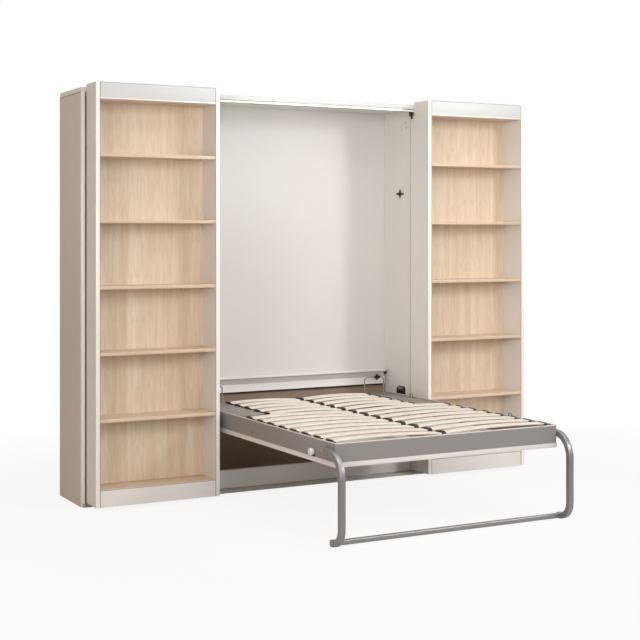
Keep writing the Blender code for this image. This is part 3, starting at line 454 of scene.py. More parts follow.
def row_tree():
    """Copies of a form along a row, joined into one mesh."""
    tree = bpy.data.node_groups.new("row_of_copies", "GeometryNodeTree")
    sockets = {"Form": "Object", "Count": "Int", "First": "Vector", "Step": "Vector", "Finish": "Material"}
    for name, kind in sockets.items():
        tree.interface.new_socket(name=name, in_out="INPUT", socket_type="NodeSocket" + kind)
    tree.interface.new_socket(name="Mesh", in_out="OUTPUT", socket_type="NodeSocketGeometry")
    given = add(tree, "NodeGroupInput").outputs
    steps = {"Count": given["Count"], "Start Location": given["First"], "Offset": given["Step"]}
    line = add(tree, "GeometryNodeMeshLine", {"mode": "OFFSET", **steps})
    source = {"transform_space": "ORIGINAL", "Object": given["Form"]}
    form = add(tree, "GeometryNodeObjectInfo", source).outputs["Geometry"]
    copies = add(tree, "GeometryNodeInstanceOnPoints", {"Points": line, "Instance": form})
    real = add(tree, "GeometryNodeRealizeInstances", {"Geometry": copies})
    coated = add(tree, "GeometryNodeSetMaterial", {"Geometry": real, "Material": given["Finish"]})
    add(tree, "NodeGroupOutput", {"Mesh": coated})
    return tree


ROW = row_tree()


def row(name, form, count, first, step, finish, body, stands_for=()):
    """Runs the row tree on a small form and keeps the result as a plain mesh."""
    source = linked(name + "_form", form.mesh(name + "_form"))
    carrier = linked(name + "_carrier", bpy.data.meshes.new(name + "_carrier"))
    modifier = carrier.modifiers.new("row", "NODES")
    modifier.node_group = ROW
    places = {"First": first * MM, "Step": step * MM}
    values = {"Form": source, "Count": count, "Finish": finish, **places}
    for socket in ROW.interface.items_tree:
        if socket.item_type == "SOCKET" and socket.in_out == "INPUT":
            modifier[socket.identifier] = values[socket.name]
    bpy.context.view_layer.update()
    graph = bpy.context.evaluated_depsgraph_get()
    mesh = bpy.data.meshes.new_from_object(carrier.evaluated_get(graph))
    mesh.name = name
    bpy.data.objects.remove(carrier)
    bpy.data.objects.remove(source)
    return mounted(name, mesh, body, stands_for)


# Finishes of the CAD boards


def coat(finish, *nodes):
    """Gives CAD nodes a finish."""
    for name in nodes:
        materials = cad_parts[name].data.materials
        materials.clear()
        materials.append(finish)


# The cabinet sides take the darker, warmer white: painted shade on their shaded faces
coat(PAINTED_SIDE_SHADE, "left_outer_side", "right_outer_side")
coat(BACK_WHITE, "back_panel")
coat(WHITE, "left_divider", "right_divider", "top_panel", "plinth_board", "face_panel")
coat(BROWN, "lower_back_board")
coat(ALUMINIUM, "top_guide_rail", "floor_track")
coat(RAIL_GREY, "centre_beam")
for side, sign in SIDES:
    case = side + "_bookcase_"
    coat(WHITE, case + "outer_side", case + "inner_side", case + "kick_board")
    coat(MAPLE_UP, case + "back")
    coat(MAPLE_ALONG, *[case + "shelf_" + str(n) for n in range(1, 6)])


# Places and small sizes in millimetres that many pieces share

HAIR = 0.3  # a clearance that keeps two faces apart
LET_IN = 1  # how deep a small part is let into what carries it
BAND = 0.6  # how far an edging reaches back over its board
PROUD = 0.5  # how far an edging stands out in front


def box(name):
    """A CAD node's lowest and highest corners."""
    return [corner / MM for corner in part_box(name)]


def near_x_of(name):
    """How near to the middle a CAD node comes, without its sign."""
    return min(abs(corner.x) for corner in box(name))


def far_x_of(name):
    """How far from the middle a CAD node reaches, without its sign."""
    return max(abs(corner.x) for corner in box(name))


def front_band(form, name):
    """A strip of edging over the front edge of a CAD board, its long edges rounded."""
    low, high = box(name)
    form.block((low.x, low.y - PROUD, low.z), (high.x, low.y + BAND, high.z), 0.4)


# The bookcases: edging, header, painted joint shadows, a strip of painted gap shadow, rollers, base board
# and wheels

HEADER_BOARD = 24
STEP_BOARD = 12
HEADER_EDGING = 7  # the thicker edging that closes the header's lower edge
STEP_GAP = 2.5  # from the guide rail to the header's step
LINING = 4.3
GAP_SHADOW_LINE = 2.6
SHADOW_STRIP_WIDE = 48
SHADOW_STRIP_GAP = 6  # below the guide rail
ROLLER_IN = 30  # from the bookcase's inside to a roller
WHEEL_IN = 70
WHEEL_BACK = 105  # from the front to the front wheels
TRACK_DEEP = 4
BASE_BOARD = 18
WHEEL_R = 22
TYRE = ((13, -5), (20.5, -6), (22, -4.2), (22, 4.2), (20.5, 6), (13, 5), (13, -5))
HUB = ((0, -6.4), (5, -6.4), (6, -4.4), (13.2, -3.8), (13.2, 3.8), (6, 4.4), (5, 6.4), (0, 6.4))
AXLE = ((0, -12), (3.6, -12), (3.6, 12), (0, 12))
CHEEK_Y, CHEEK_HALF, CHEEK_DROP = 9, 11, 9
FORK_TOP_X, FORK_TOP_Y, FORK_TOP_THICK = 14, 13, 2.4
SKIN = 0.1  # the thinnest step between two faces

rail_low, rail_high = box("top_guide_rail")
track_high = box("floor_track")[1]
roll_y = (rail_low.y + rail_high.y) / 2


def add_line(form, low, high, edge=0.2):
    """A thin bar that draws a joint."""
    form.block(low, high, edge, 1)


def add_wheel(tyres, hubs, forks, x, y, ground, top):
    """A wheel in its fork, which hangs from the base board."""
    axle = (x, y, ground + WHEEL_R)
    tyres.turned(TYRE, axle, "Y", 1, 36)
    hubs.turned(HUB, axle, "Y", 1, 30)
    for cheek in (-1, 1):
        mid = y + cheek * CHEEK_Y
        low = (x - CHEEK_HALF, mid - 1, axle[2] - CHEEK_DROP)
        forks.block(low, (x + CHEEK_HALF, mid + 1, top), 0.7)
    low = (x - FORK_TOP_X, y - FORK_TOP_Y, top - FORK_TOP_THICK)
    forks.block(low, (x + FORK_TOP_X, y + FORK_TOP_Y, top - SKIN), 0.6)
    forks.turned(AXLE, axle, "Y", 1, 16)


for side, sign in SIDES:
    body = side + "_bookcase"
    case = body + "_"
    outer_low, outer_high = box(case + "outer_side")
    inner_low, inner_high = box(case + "inner_side")
    head_low, head_high = box(case + "header")
    kick_low, kick_high = box(case + "kick_board")
    back_low, back_high = box(case + "back")
    near_x, far_x = sorted((kick_low.x, kick_high.x), key=abs)
    left_x, right_x = kick_low.x, kick_high.x
    front, rear, top = head_low.y, head_high.y, inner_high.z

    form = Form()
    front_band(form, case + "outer_side")
    front_band(form, case + "inner_side")
    low = (left_x, front - PROUD, head_low.z - 0.4)
    form.block(low, (right_x, front + 5, head_low.z + HEADER_EDGING), 0.45)
    form.piece(case + "white_edging", EDGING, body, "white_board")

    form = Form()
    for n in range(1, 6):
        front_band(form, case + "shelf_" + str(n))
    form.piece(case + "shelf_edging", MAPLE_ALONG, body, "maple_board")

    # The header: front board, top board, and the step under the guide rail
    board_rear = front + HEADER_BOARD
    step_front = rail_low.y - STEP_GAP
    notch = back_high.z + STEP_BOARD + HAIR
    step_under = notch - STEP_BOARD
    outline = [
        (front, head_low.z), (board_rear, head_low.z), (board_rear, top - HEADER_BOARD),
        (step_front - STEP_BOARD, top - HEADER_BOARD), (step_front - STEP_BOARD, step_under),
        (rear, step_under), (rear, notch), (step_front, notch), (step_front, top), (front, top),
    ]
    form = Form().prism(outline, "X", left_x, right_x, 0.8)
    form.piece(case + "header_boards", COOL_WHITE, body, "white_board", (case + "header",))
    form = Form()
    low = (left_x, board_rear + 0.2, step_under - SKIN - LINING)
    form.block(low, (right_x, back_low.y - HAIR, step_under - SKIN), 0.5)
    form.piece(case + "header_lining", MAPLE_ALONG, body, "maple_board")

    # Thin brown strips paint the shadow in the joints' gaps: over the header, over the kick board, and
    # beside both
    form = Form()
    for low_z, high_z, face in (
        (head_low.z + HEADER_EDGING + 0.2, top, front),
        (kick_low.z + 1, kick_high.z, kick_low.y),
    ):
        line_z = high_z - GAP_SHADOW_LINE
        add_line(form, (left_x, face - HAIR, line_z), (right_x, face + LET_IN, high_z - SKIN))
        for edge_x, into in ((left_x, 1), (right_x, -1)):
            high = (edge_x + into * 1.6, face + LET_IN, line_z)
            add_line(form, (edge_x, face - HAIR, low_z), high)
    for edge_x, into in ((left_x, -1), (right_x, 1)):
        high = (edge_x + into * 2.2, front + LET_IN, top - 1)
        add_line(form, (edge_x, front - 0.9, kick_low.z + 1), high)
    # One fine brown strip on the compartment's wall paints the shadow at the inner side's back edge
    inner_face = near_x_of(case + "inner_side")
    low = (sign * (inner_face - HAIR), inner_high.y - GAP_SHADOW_LINE, inner_low.z + 2)
    high = (sign * (inner_face + 0.5), inner_high.y - 0.2, head_low.z)
    add_line(form, low, high, 0.1)
    form.piece(case + "joint_lines", GAP_SHADOW, body, "brown_board")

    # A dark strip paints the shadow in the gap between the bookcase and the cabinet's side
    outer_face = far_x_of(case + "outer_side")
    form = Form()
    low = (sign * (outer_face - 0.5), outer_high.y - SHADOW_STRIP_WIDE, outer_low.z + 2)
    high = (sign * (outer_face + 0.4), outer_high.y - 0.2, rail_low.z - SHADOW_STRIP_GAP)
    add_line(form, low, high)
    form.piece(case + "brush_seal", DARK_GAP_SHADOW, body, "black_plastic")

    # Rollers with collars on the step, their tops in the guide rail's slot
    slot_z = rail_low.z - notch + 8
    roller = [(0, -15), (7, -15), (7, 0), (11.4, 0), (12, 0.6), (12, 5.4), (11.4, 6), (8.2, 6)]
    roller += [(9, 7), (9, slot_z - 0.8), (8.2, slot_z), (0, slot_z)]
    form = Form()
    for roll_x in (near_x + sign * ROLLER_IN, far_x - sign * ROLLER_IN):
        form.turned(roller, (roll_x, roll_y, notch), "Z")
    form.piece(case + "guide_rollers", BLACK, body, "black_plastic")

    # The base board, and the wheels that carry the bookcase
    form = Form()
    base_z = kick_high.z - BASE_BOARD
    high = (right_x, back_high.y + 9 - HAIR, kick_high.z)
    form.block((left_x, kick_high.y + HAIR, base_z), high, 0.8)
    form.piece(case + "base_board", MAPLE_ALONG, body, "maple_board", (case + "base_shelf",))

    tyres, hubs, forks = Form(), Form(), Form()
    groove_z = track_high.z - TRACK_DEEP
    for wheel_x in (near_x + sign * WHEEL_IN, far_x - sign * WHEEL_IN):
        for wheel_y, ground in ((front + WHEEL_BACK, HAIR), (roll_y, groove_z + HAIR)):
            add_wheel(tyres, hubs, forks, wheel_x, wheel_y, ground, base_z)
    tyres.piece(case + "wheel_tyres", BLACK, body, "black_plastic")
    hubs.piece(case + "wheel_hubs", RAIL_GREY, body, "grey_rail")
    forks.piece(case + "wheel_forks", STEEL, body, "pale_metal")


# The cabinet: edging, painted joint shadows, and what sits on the guide rail

RAIL_SHADOW_TALL = 2.4
END_SHADOW_TALL = 4.2
BEAD_TALL = 8
PLUG_LONG = 10
STOP_GAP = 7  # from a stop block to the bookcase's inner side
STOP_BACK = 3  # from the rail's front face to a stop block
# Each stop block is two boxes: width, depth, and how far the top and bottom lie from the rail's
# lower face
STOP_BOXES = ((19, 14, 0.5, -30), (10, 9, -29, -44))

form = Form()
for side, sign in SIDES:
    front_band(form, side + "_outer_side")
form.piece("cabinet_white_edging", EDGING, "cabinet", "white_board")
form = Form()
front_band(form, "top_panel")
form.piece("top_front_edging", COOL_WHITE, "cabinet", "white_board")

# A dark strip paints the shadow in the joint over the guide rail, and others in the joints under the top's
# two ends
form = Form()
low = (rail_low.x, rail_low.y - 0.8, rail_high.z - RAIL_SHADOW_TALL)
form.block(low, (rail_high.x, rail_low.y + LET_IN, rail_high.z), 0.3)
for side, sign in SIDES:
    low, high = box(side + "_outer_side")
    outside = far_x_of(side + "_outer_side")
    corner = (sign * (outside - LET_IN), low.y + 1, high.z - END_SHADOW_TALL)
    form.block(corner, (sign * (outside + 0.4), high.y - 1, high.z), 0.3)
form.piece("joint_seals", DARK_GAP_SHADOW, "cabinet", "brown_board")
# A bead runs along the rail's front; its white paints the aluminium's highlight
form = Form()
bead_z = rail_low.z + 0.4
low = (rail_low.x, rail_low.y - 1.4, bead_z)
form.block(low, (rail_high.x, rail_low.y + LET_IN, bead_z + BEAD_TALL), 0.9, 3)
form.piece("guide_rail_bead", EDGING, "cabinet", "white_board")
form = Form()
for sign in (-1, 1):
    low = (sign * (rail_high.x - PLUG_LONG), rail_low.y - 2.6, rail_low.z - 0.5)
    high = (sign * (rail_high.x + 0.4), rail_low.y + LET_IN, rail_high.z - 0.4)
    form.block(low, high, 0.5)
form.piece("guide_rail_end_plugs", BLACK, "cabinet", "black_plastic")
# A black stop block hangs under the rail beside each bookcase
form = Form()
for side, sign in SIDES:
    stop_x = near_x_of(side + "_bookcase_inner_side") - STOP_GAP
    stop_y = rail_low.y + STOP_BACK
    for width, deep, over, under in STOP_BOXES:
        low = (sign * (stop_x - width), stop_y, rail_low.z + under)
        form.block(low, (sign * stop_x, stop_y + deep, rail_low.z + over), 1.5)
form.piece("guide_rail_stops", BLACK, "cabinet", "black_plastic")


# The head ledge: boards, cove in painted shadow, a strip of painted shadow under the apron, and black ends

LEDGE_BOARD = 12
APRON_BACK = 22  # from the ledge's front edge to its apron
GROOVE = 2.5  # along the apron's foot
LEDGE_OVER = 4  # how far the ledge reaches past the bed's side rails

ledge_low, ledge_high = box("head_ledge")
half_w = far_x_of("left_side_rail") + LEDGE_OVER
apron_y = ledge_low.y + APRON_BACK
ledge_under = ledge_high.z - LEDGE_BOARD
outline = [
    (ledge_low.y, ledge_under), (apron_y, ledge_under), (apron_y, ledge_low.z + 6),
    (apron_y - GROOVE, ledge_low.z + 5), (apron_y - GROOVE, ledge_low.z),
    (ledge_high.y, ledge_low.z), (ledge_high.y, ledge_high.z), (ledge_low.y, ledge_high.z),
]
form = Form().prism(outline, "X", -half_w, half_w, 0.9, 3)
form.piece("head_ledge_boards", WHITE, "cabinet", "white_board", ("head_ledge",))
# The cove's darker grey white is painted shadow under the ledge's overhang
cove = shifted(((2, 0.5), (4, -0.5), (14, -7)), ledge_low.y, ledge_under)
cove += shifted(((0.5, -38), (0.5, 0.5)), apron_y, ledge_under)
form = Form().prism(cove, "X", -half_w + 1, half_w - 1)
form.piece("head_ledge_cove", PAINTED_COVE_SHADOW, "cabinet", "white_board")
# A black strip under the apron paints the shadow in the gap above the brown board
form = Form()
low = (-half_w + 1, apron_y + 1.5, ledge_low.z - 9)
form.block(low, (half_w - 1, apron_y + 3.5, ledge_low.z + LET_IN), 0.5)
form.piece("apron_seal", BLACK, "cabinet", "black_plastic")
form = Form()
for sign in (-1, 1):
    low = (sign * (half_w - 10), ledge_low.y + 12, ledge_under - 20)
    high = (sign * (half_w + 10), ledge_low.y + 32, ledge_high.z - 6)
    form.block(low, high, 1.5, 3)
form.piece("head_ledge_ends", BLACK, "cabinet", "black_plastic")


# The pivot brackets with pins and bolts, the latch catches, and the screw caps

CHAMFER = 10
PLATE = 5
PIVOT_IN = (50, 40)  # from the bracket's lower front corner to its pivot
RIB_PLACES = (22, 36, 58, 72)  # from the bracket's front edge
BOLT = ((0, -4), (5, -4), (5, -7.5), (4, -8.3), (2.2, -8.5), (2.0, -7.2), (0, -7.2))
CATCH_ARM_Y, CATCH_ARM_Z, CATCH_HALF = 45, 27, 5.5
CATCH_BOSS = ((0, -3), (11, -3), (10, -9), (6, -9), (5.4, -14), (0, -14))
CATCH_SCREW = ((0, -5), (4, -5), (4, -6.6), (3, -7.6), (0, -8))
CATCH_SCREW_PLACES = ((-35, 0), (35, 0), (0, -20), (0, 20))
# The caps hide the fixings of a hanging bracket; read from the photo as places on the wall
SCREW_CAPS = ((704.6, 2206.7, 3.5), (693.9, 2173.0, 5.0), (748.9, 2160.4, 3.5))

for side, sign in SIDES:
    low, high = box(side + "_pivot_bracket")
    wall = far_x_of(side + "_pivot_bracket")
    wall_x = sign * wall
    rail_in = far_x_of(side + "_side_rail") - wall
    pivot = (wall_x, low.y + PIVOT_IN[0], low.z + PIVOT_IN[1])
    outline = [
        (low.y + CHAMFER, low.z), (high.y - CHAMFER, low.z), (high.y, low.z + CHAMFER),
        (high.y, high.z - CHAMFER), (high.y - CHAMFER, high.z), (low.y + CHAMFER, high.z),
        (low.y, high.z - CHAMFER), (low.y, low.z + CHAMFER),
    ]
    form = Form().prism(outline, "X", sign * (wall - PLATE), wall_x, 1.2)
    wall_in = sign * (wall - PLATE + LET_IN)
    for y in (low.y + 4, high.y - 14):
        corner = (sign * (wall - 16), y, low.z + CHAMFER)
        form.block(corner, (wall_in, y + 8, high.z - CHAMFER), 1.5)
    corner = (sign * (wall - 13), low.y + 8, high.z - 30)
    form.block(corner, (wall_in, high.y - 8, high.z - 24), 1.2)
    boss = [(0, -4), (21, -4), (21, -7), (17, -9)]
    boss += [(17, rail_in + 2.2), (16.2, rail_in + 1.5), (0, rail_in + 1.5)]
    form.turned(boss, pivot, "X", sign)
    ribs = Form()
    for place in RIB_PLACES:
        y = low.y + place
        corner = (sign * (wall - 10), y, high.z - 23)
        ribs.block(corner, (wall_in, y + 5, high.z - 5), 1.4, 3)
    ribs.piece(side + "_bracket_ribs", RAIL_GREY, "cabinet", "grey_rail")
    form.piece(side + "_pivot_casting", BLACK, "cabinet", "black_plastic", (side + "_pivot_bracket",))

    # The pin, and three bolts that hold the casting to the wall
    pin = [(0, -6), (7.9, -6), (7.9, rail_in - 24.6), (6.9, rail_in - 25.6), (0, rail_in - 25.6)]
    form = Form().turned(pin, pivot, "X", sign)
    for y, z in (
        (pivot[1] - 2, high.z - 12),
        (low.y + 22, low.z + 9),
        (high.y - 22, low.z + 9),
    ):
        form.turned(BOLT, (wall_x, y, z), "X", sign, 20)
    form.piece(side + "_pivot_pin", STEEL, "cabinet", "pale_metal")

    # The catch: a cross of two arms with a stepped boss, held by four screws
    low, high = box(side + "_latch_catch")
    wall = far_x_of(side + "_latch_catch")
    wall_x = sign * wall
    mid_y, mid_z = (low.y + high.y) / 2, (low.z + high.z) / 2
    arm_y, arm_z, half = CATCH_ARM_Y, CATCH_ARM_Z, CATCH_HALF
    quarter = [(half, -arm_z), (half, -half), (arm_y, -half)]
    upper = [(arm_y, half), (half, half), (half, arm_z)]
    cross = quarter + upper + [(-y, -z) for y, z in quarter] + [(-y, -z) for y, z in upper]
    form = Form().prism(shifted(cross, mid_y, mid_z), "X", sign * (wall - 6), wall_x, 1.4, 3)
    form.turned(CATCH_BOSS, (wall_x, mid_y, mid_z), "X", sign, 32)
    form.piece(side + "_catch_plate", BLACK, "cabinet", "black_plastic", (side + "_latch_catch",))
    form = Form()
    for y, z in shifted(CATCH_SCREW_PLACES, mid_y, mid_z):
        form.turned(CATCH_SCREW, (wall_x, y, z), "X", sign, 20)
    form.piece(side + "_catch_screws", STEEL, "cabinet", "pale_metal")

    form = Form()
    for y, z, r in SCREW_CAPS:
        cap = ((0, 2), (r, 2), (r, -0.6), (r * 0.7, -1.3), (0, -1.5))
        form.turned(cap, (wall_x, y, z), "X", sign, 20)
    form.piece(side + "_screw_caps", BROWN, "cabinet", "brown_board")


# The bed frame's places, worked out from the foot rail and the head rail

foot_low, foot_high = box("foot_rail")
BED_X = foot_high.x
RAIL_T = 30
RAIL_TOP = foot_high.z
RAIL_BASE = foot_low.z
SEAT = RAIL_TOP - 10
LIP = 4
FOOT_Y = foot_low.y
HEAD_Y = box("head_rail")[1].y
KNOB_Y = FOOT_Y + 223
KNOB_Z = RAIL_TOP - 68.9
LEG_Y = FOOT_Y + 83.8
LEG_Z = RAIL_TOP - 43.3
PIVOT_Y = HEAD_Y - 105
BIG_SCREW = (PIVOT_Y - 691.2, RAIL_TOP - 69.8)
SMALL_SCREW = (PIVOT_Y - 560.0, RAIL_TOP - 80.0)
# A turned cap on a collar, which locks the folded leg
KNOB = (
    (0, -2), (11, -2), (11, 4), (16, 5.4), (17.6, 7.4), (18, 9.6),
    (18, 20.4), (17.2, 23.2), (15.2, 25), (12.4, 25.4), (11.6, 24.4), (0, 24),
)
WASHER = ((0, -1), (8, -1), (8, 0.4), (7, 0.8), (0, 0.8))


# The side rails: a folded steel section, knob, leg stop, screws and a washer

for side, sign in SIDES:
    # A lip outside, a seat for the slats inside, and a rolled lower edge
    outer, lip_x, inner = (sign * (BED_X - inward) for inward in (0, LIP, RAIL_T))
    section = [(outer, RAIL_BASE), (outer, RAIL_TOP), (lip_x, RAIL_TOP)]
    section += [(lip_x, SEAT), (inner, SEAT), (inner, RAIL_BASE)]
    form = Form().prism(section, "Y", FOOT_Y + RAIL_T + HAIR, HEAD_Y, 1.6, 3)
    form.piece(side + "_rail_section", RAIL_GREY, "bed", "grey_rail", (side + "_side_rail",))
    form = Form().turned(KNOB, (outer, KNOB_Y, KNOB_Z), "X", sign, 48)
    form.piece(side + "_round_knob", KNOB_SILVER, "bed", "pale_metal")
    form = Form()
    low = (sign * (BED_X - LET_IN), KNOB_Y - 13, RAIL_BASE + 0.5)
    high = (sign * (BED_X + 5), KNOB_Y + 5, RAIL_BASE + 9)
    form.block(low, high, 1.2, 3)
    form.piece(side + "_leg_stop", BLACK, "bed", "black_plastic")
    form = Form()
    for place, r in ((BIG_SCREW, 4.6), (SMALL_SCREW, 2.6)):
        screw = [(0, -1), (r, -1), (r, 1.1), (r * 0.7, 2), (r * 0.36, 2.1), (r * 0.32, 1.2), (0, 1.2)]
        form.turned(screw, (outer, *place), "X", sign, 24)
    form.piece(side + "_rail_screws", STEEL, "bed", "pale_metal")
    form = Form().turned(WASHER, (outer, *BIG_SCREW), "X", sign, 28)
    form.piece(side + "_screw_washer", BLACK, "bed", "black_plastic")

# Two wire rings for straps stand on the right rail's seat
RING_R = 17.5
ring_x = BED_X - 11
form = Form()
for ring_y in (HEAD_Y - 311.4, FOOT_Y + 394.9):
    line = [(ring_y + RING_R, SEAT - 2)]
    line += arc((ring_y, SEAT + 8), RING_R, 0, 180, 20)
    line += [(ring_y - RING_R, SEAT - 2)]
    form.sweep([(ring_x, y, z) for y, z in line], round_section(2, 12), (1, 0, 0))
form.piece("right_strap_rings", BLACK, "bed", "black_plastic")


# The foot rail and the pale strip of painted highlight on its lip, whose lines turn round two rounded
# corners

CORNER = 7


def turned_line(inset, end_y):
    """The lip's outline in plan, from the left to the right end, moved in by an inset."""
    edge = BED_X - inset
    nose = FOOT_Y + inset
    bend = CORNER - inset
    line = [(-edge, end_y)]
    line += arc((-edge + bend, nose + bend), bend, 180, 270, 6)
    line += arc((edge - bend, nose + bend), bend, 270, 360, 6)
    return line + [(edge, end_y)]


form = Form()
lip = turned_line(0.0, FOOT_Y + RAIL_T) + list(reversed(turned_line(LIP, FOOT_Y + RAIL_T)))
form.prism(lip, "Z", RAIL_BASE, RAIL_TOP, 1.2, 3)
low = (-BED_X + 2, FOOT_Y + 2, RAIL_BASE + 1)
form.block(low, (BED_X - 2, FOOT_Y + RAIL_T, SEAT), 0.8)
form.piece("foot_rail_section", RAIL_GREY, "bed", "grey_rail", ("foot_rail",))

# A pale strip over the lip, all round the open side of the frame, paints the highlight along the lip
form = Form()
trim = turned_line(-0.5, HEAD_Y) + list(reversed(turned_line(LIP + HAIR, HEAD_Y)))
form.prism(trim, "Z", RAIL_TOP - 4.2, RAIL_TOP + 0.6, 0.5, 2)
form.piece("pale_lip_trim", LIP_HIGHLIGHT_PALE, "bed", "pale_metal")


# The head rail with its two mattress hoops

HOOP_IN = 104  # from the frame's side to a hoop's middle
HOOP_HALF = 70
HOOP_TALL = 96.5
HOOP_BEND = 20
SOCKET = ((0, 0), (6, 0), (6, 3), (4, 6), (0, 6))
CLAMP_IN = 22  # from a hoop's middle to its clamp
# Each clamp is three boxes: from and to along the hoop, half depth and half height
CLAMP_BOXES = ((-20, -3, 8, 8.5), (3, 20, 8, 8.5), (-6, 6, 6, 18))

form = Form()
inner = BED_X - RAIL_T - HAIR
form.block((-inner, HEAD_Y - RAIL_T, RAIL_BASE), (inner, HEAD_Y, SEAT), 1.6, 3)
form.piece("head_rail_section", RAIL_GREY, "bed", "grey_rail", ("head_rail",))
hoop_y = HEAD_Y - RAIL_T / 2
hoop_top = RAIL_TOP + HOOP_TALL
wires, clamps = Form(), Form()
for sign in (-1, 1):
    hoop_x = sign * (BED_X - HOOP_IN)
    left_x, right_x = hoop_x - HOOP_HALF, hoop_x + HOOP_HALF
    bend_z = hoop_top - HOOP_BEND
    line = [(left_x, SEAT - 10)]
    line += arc((left_x + HOOP_BEND, bend_z), HOOP_BEND, 180, 90, 10)
    line += arc((right_x - HOOP_BEND, bend_z), HOOP_BEND, 90, 0, 10)
    line += [(right_x, SEAT - 10)]
    wires.sweep([(x, hoop_y, z) for x, z in line], round_section(4, 16), (0, 1, 0))
    for x in (left_x, right_x):
        wires.turned(SOCKET, (x, hoop_y, SEAT), "Z", 1, 20)
    mid = hoop_x + sign * CLAMP_IN
    for start, end, deep, tall in CLAMP_BOXES:
        low = (mid + start, hoop_y - deep, hoop_top - tall)
        high = (mid + end, hoop_y + deep, hoop_top + tall)
        clamps.block(low, high, 2, 3)
wires.piece("mattress_hoops", HOOP_GREY, "bed", "grey_rail")
clamps.piece("hoop_clamps", BLACK, "bed", "black_plastic")

# Edging round the face panel
panel_low, panel_high = box("face_panel")
edging_low, edging_high = panel_low.z + 0.2, panel_high.z - 0.2
form = Form()
low = (panel_low.x, panel_low.y - HAIR, edging_low)
form.block(low, (panel_high.x, panel_low.y + BAND, edging_high), 0.4)
for sign in (-1, 1):
    low = (sign * (BED_X - BAND), panel_low.y + BAND + SKIN, edging_low)
    form.block(low, (sign * (BED_X + HAIR), panel_high.y, edging_high), 0.4)
form.piece("face_panel_edging", PANEL_EDGING, "bed", "white_board")


# The rows of slats: the five near the wall are short and end at the cover plates

ROWS, SHORT_ROWS = 13, 5
HEAD_GAP = 72  # from the head rail's back to the first row
FOOT_GAP = 99.8
PITCH = (HEAD_Y - HEAD_GAP - FOOT_Y - FOOT_GAP) / (ROWS - 1)
FIRST = Vector((0, HEAD_Y - HEAD_GAP, 0))
STEP = Vector((0, -PITCH, 0))


# Cover plates, folded from sheet, with a ledge for the short slats and tabs on the rail

SHEET = 3.5
PLATE_IN = BED_X - 185
PLATE_OUT = BED_X - 26
LEDGE_X = PLATE_IN - 26
PLATE_CORNER = 14
FLANGE = 8
TAB_X = BED_X - 8
TAB_HALF = 15
POST_HALF = 10

for side, sign in SIDES:
    low, high = box(side + "_cover_plate")
    top = high.z
    under = top - SHEET
    front_y = FIRST.y - PITCH * (SHORT_ROWS - 1)
    outline = [(PLATE_IN, high.y), (PLATE_IN, front_y)]
    bend = (PLATE_OUT - PLATE_CORNER, front_y + PLATE_CORNER)
    outline += arc(bend, PLATE_CORNER, 270, 360, 8)
    outline += [(PLATE_OUT, high.y)]
    form = Form().prism([(sign * x, y) for x, y in outline], "Z", under, top, 1.1, 3)
    fold = [
        (LEDGE_X, SEAT), (LEDGE_X, SEAT - FLANGE), (LEDGE_X + SHEET, SEAT - FLANGE),
        (LEDGE_X + SHEET, SEAT - SHEET), (PLATE_IN + SHEET, SEAT - SHEET),
        (PLATE_IN + SHEET, SEAT + 1), (PLATE_IN, SEAT + 1), (PLATE_IN, SEAT),
    ]
    form.prism([(sign * x, z) for x, z in fold], "Y", low.y, high.y, 0.6)
    corner = (sign * (PLATE_IN + SHEET), high.y, top - 1)
    form.block((sign * PLATE_IN, front_y, SEAT), corner, 0.4)
    tab = [
        (PLATE_OUT - FLANGE, under), (TAB_X - 6, under), (TAB_X - SHEET, under - 0.5),
        (TAB_X - SHEET, SEAT + HAIR), (TAB_X, SEAT + HAIR), (TAB_X, under - 0.2),
        (TAB_X - 4.5, top), (PLATE_OUT - FLANGE, top),
    ]
    for n in range(SHORT_ROWS - 1):
        tab_y = FIRST.y - PITCH * (n + 0.5)
        sided = [(sign * x, z) for x, z in tab]
        form.prism(sided, "Y", tab_y - TAB_HALF, tab_y + TAB_HALF, 0.5)
    for rows_in in (SHORT_ROWS - 1, SHORT_ROWS - 3):
        post_y = FIRST.y - PITCH * rows_in
        corner = (sign * (LEDGE_X + 2 * POST_HALF), post_y + POST_HALF, SEAT - SHEET / 2)
        form.block((sign * LEDGE_X, post_y - POST_HALF, low.z), corner, 0.8)
    form.piece(side + "_plate_sheet", PLATE_GREY, "bed", "grey_rail", (side + "_cover_plate",))


# The slats: two arched slats a row, in end caps and a centre holder

NEAR = 7  # from the middle to a slat's inner end
RISE = 10
DROP = 5
THICK = 8
WIDE = 65
EASE = 1.6
LIFT = 2.8  # of a slat's outer end over the seat
SLAT_STEPS = 28
LONG_CAP = BED_X - 18
SHORT_CAP = BED_X - 185.3
CAP_HALF = 36
CAP_LONG = 20
HOOD_LONG = 11
CHEEK = 3.2
HOLDER_X, HOLDER_Y, HOLDER_BASE = 16, 37, 3
# Outlines across the row, with sloping shoulders
HOOD = ((-36, 0.3), (36, 0.3), (36, 8), (24, 15.3), (-24, 15.3), (-36, 8))
SADDLE = ((-36, 2), (36, 2), (36, 10), (22, 18.5), (-22, 18.5), (-36, 10))


def slat_lift(x, far):
    """The height of a slat's underside above the seat."""
    share = (abs(x) - NEAR) / (far - NEAR)
    return LIFT - DROP * (1 - share) + RISE * 4 * share * (1 - share)


def arched_slat(form, sign, far):
    """One slat, bent from laminated veneer: highest in its middle, with eased long edges."""
    half, flat = WIDE / 2, WIDE / 2 - EASE
    section = [(-flat, 0), (flat, 0), (half, EASE), (half, THICK - EASE)]
    section += [(-y, THICK - z) for y, z in section]
    rings = []
    for k in range(SLAT_STEPS + 1):
        x = sign * (NEAR + (far - NEAR) * k / SLAT_STEPS)
        lift = SEAT + slat_lift(x, far)
        rings.append([(x, y, lift + z) for y, z in section])
    form.skin(rings)


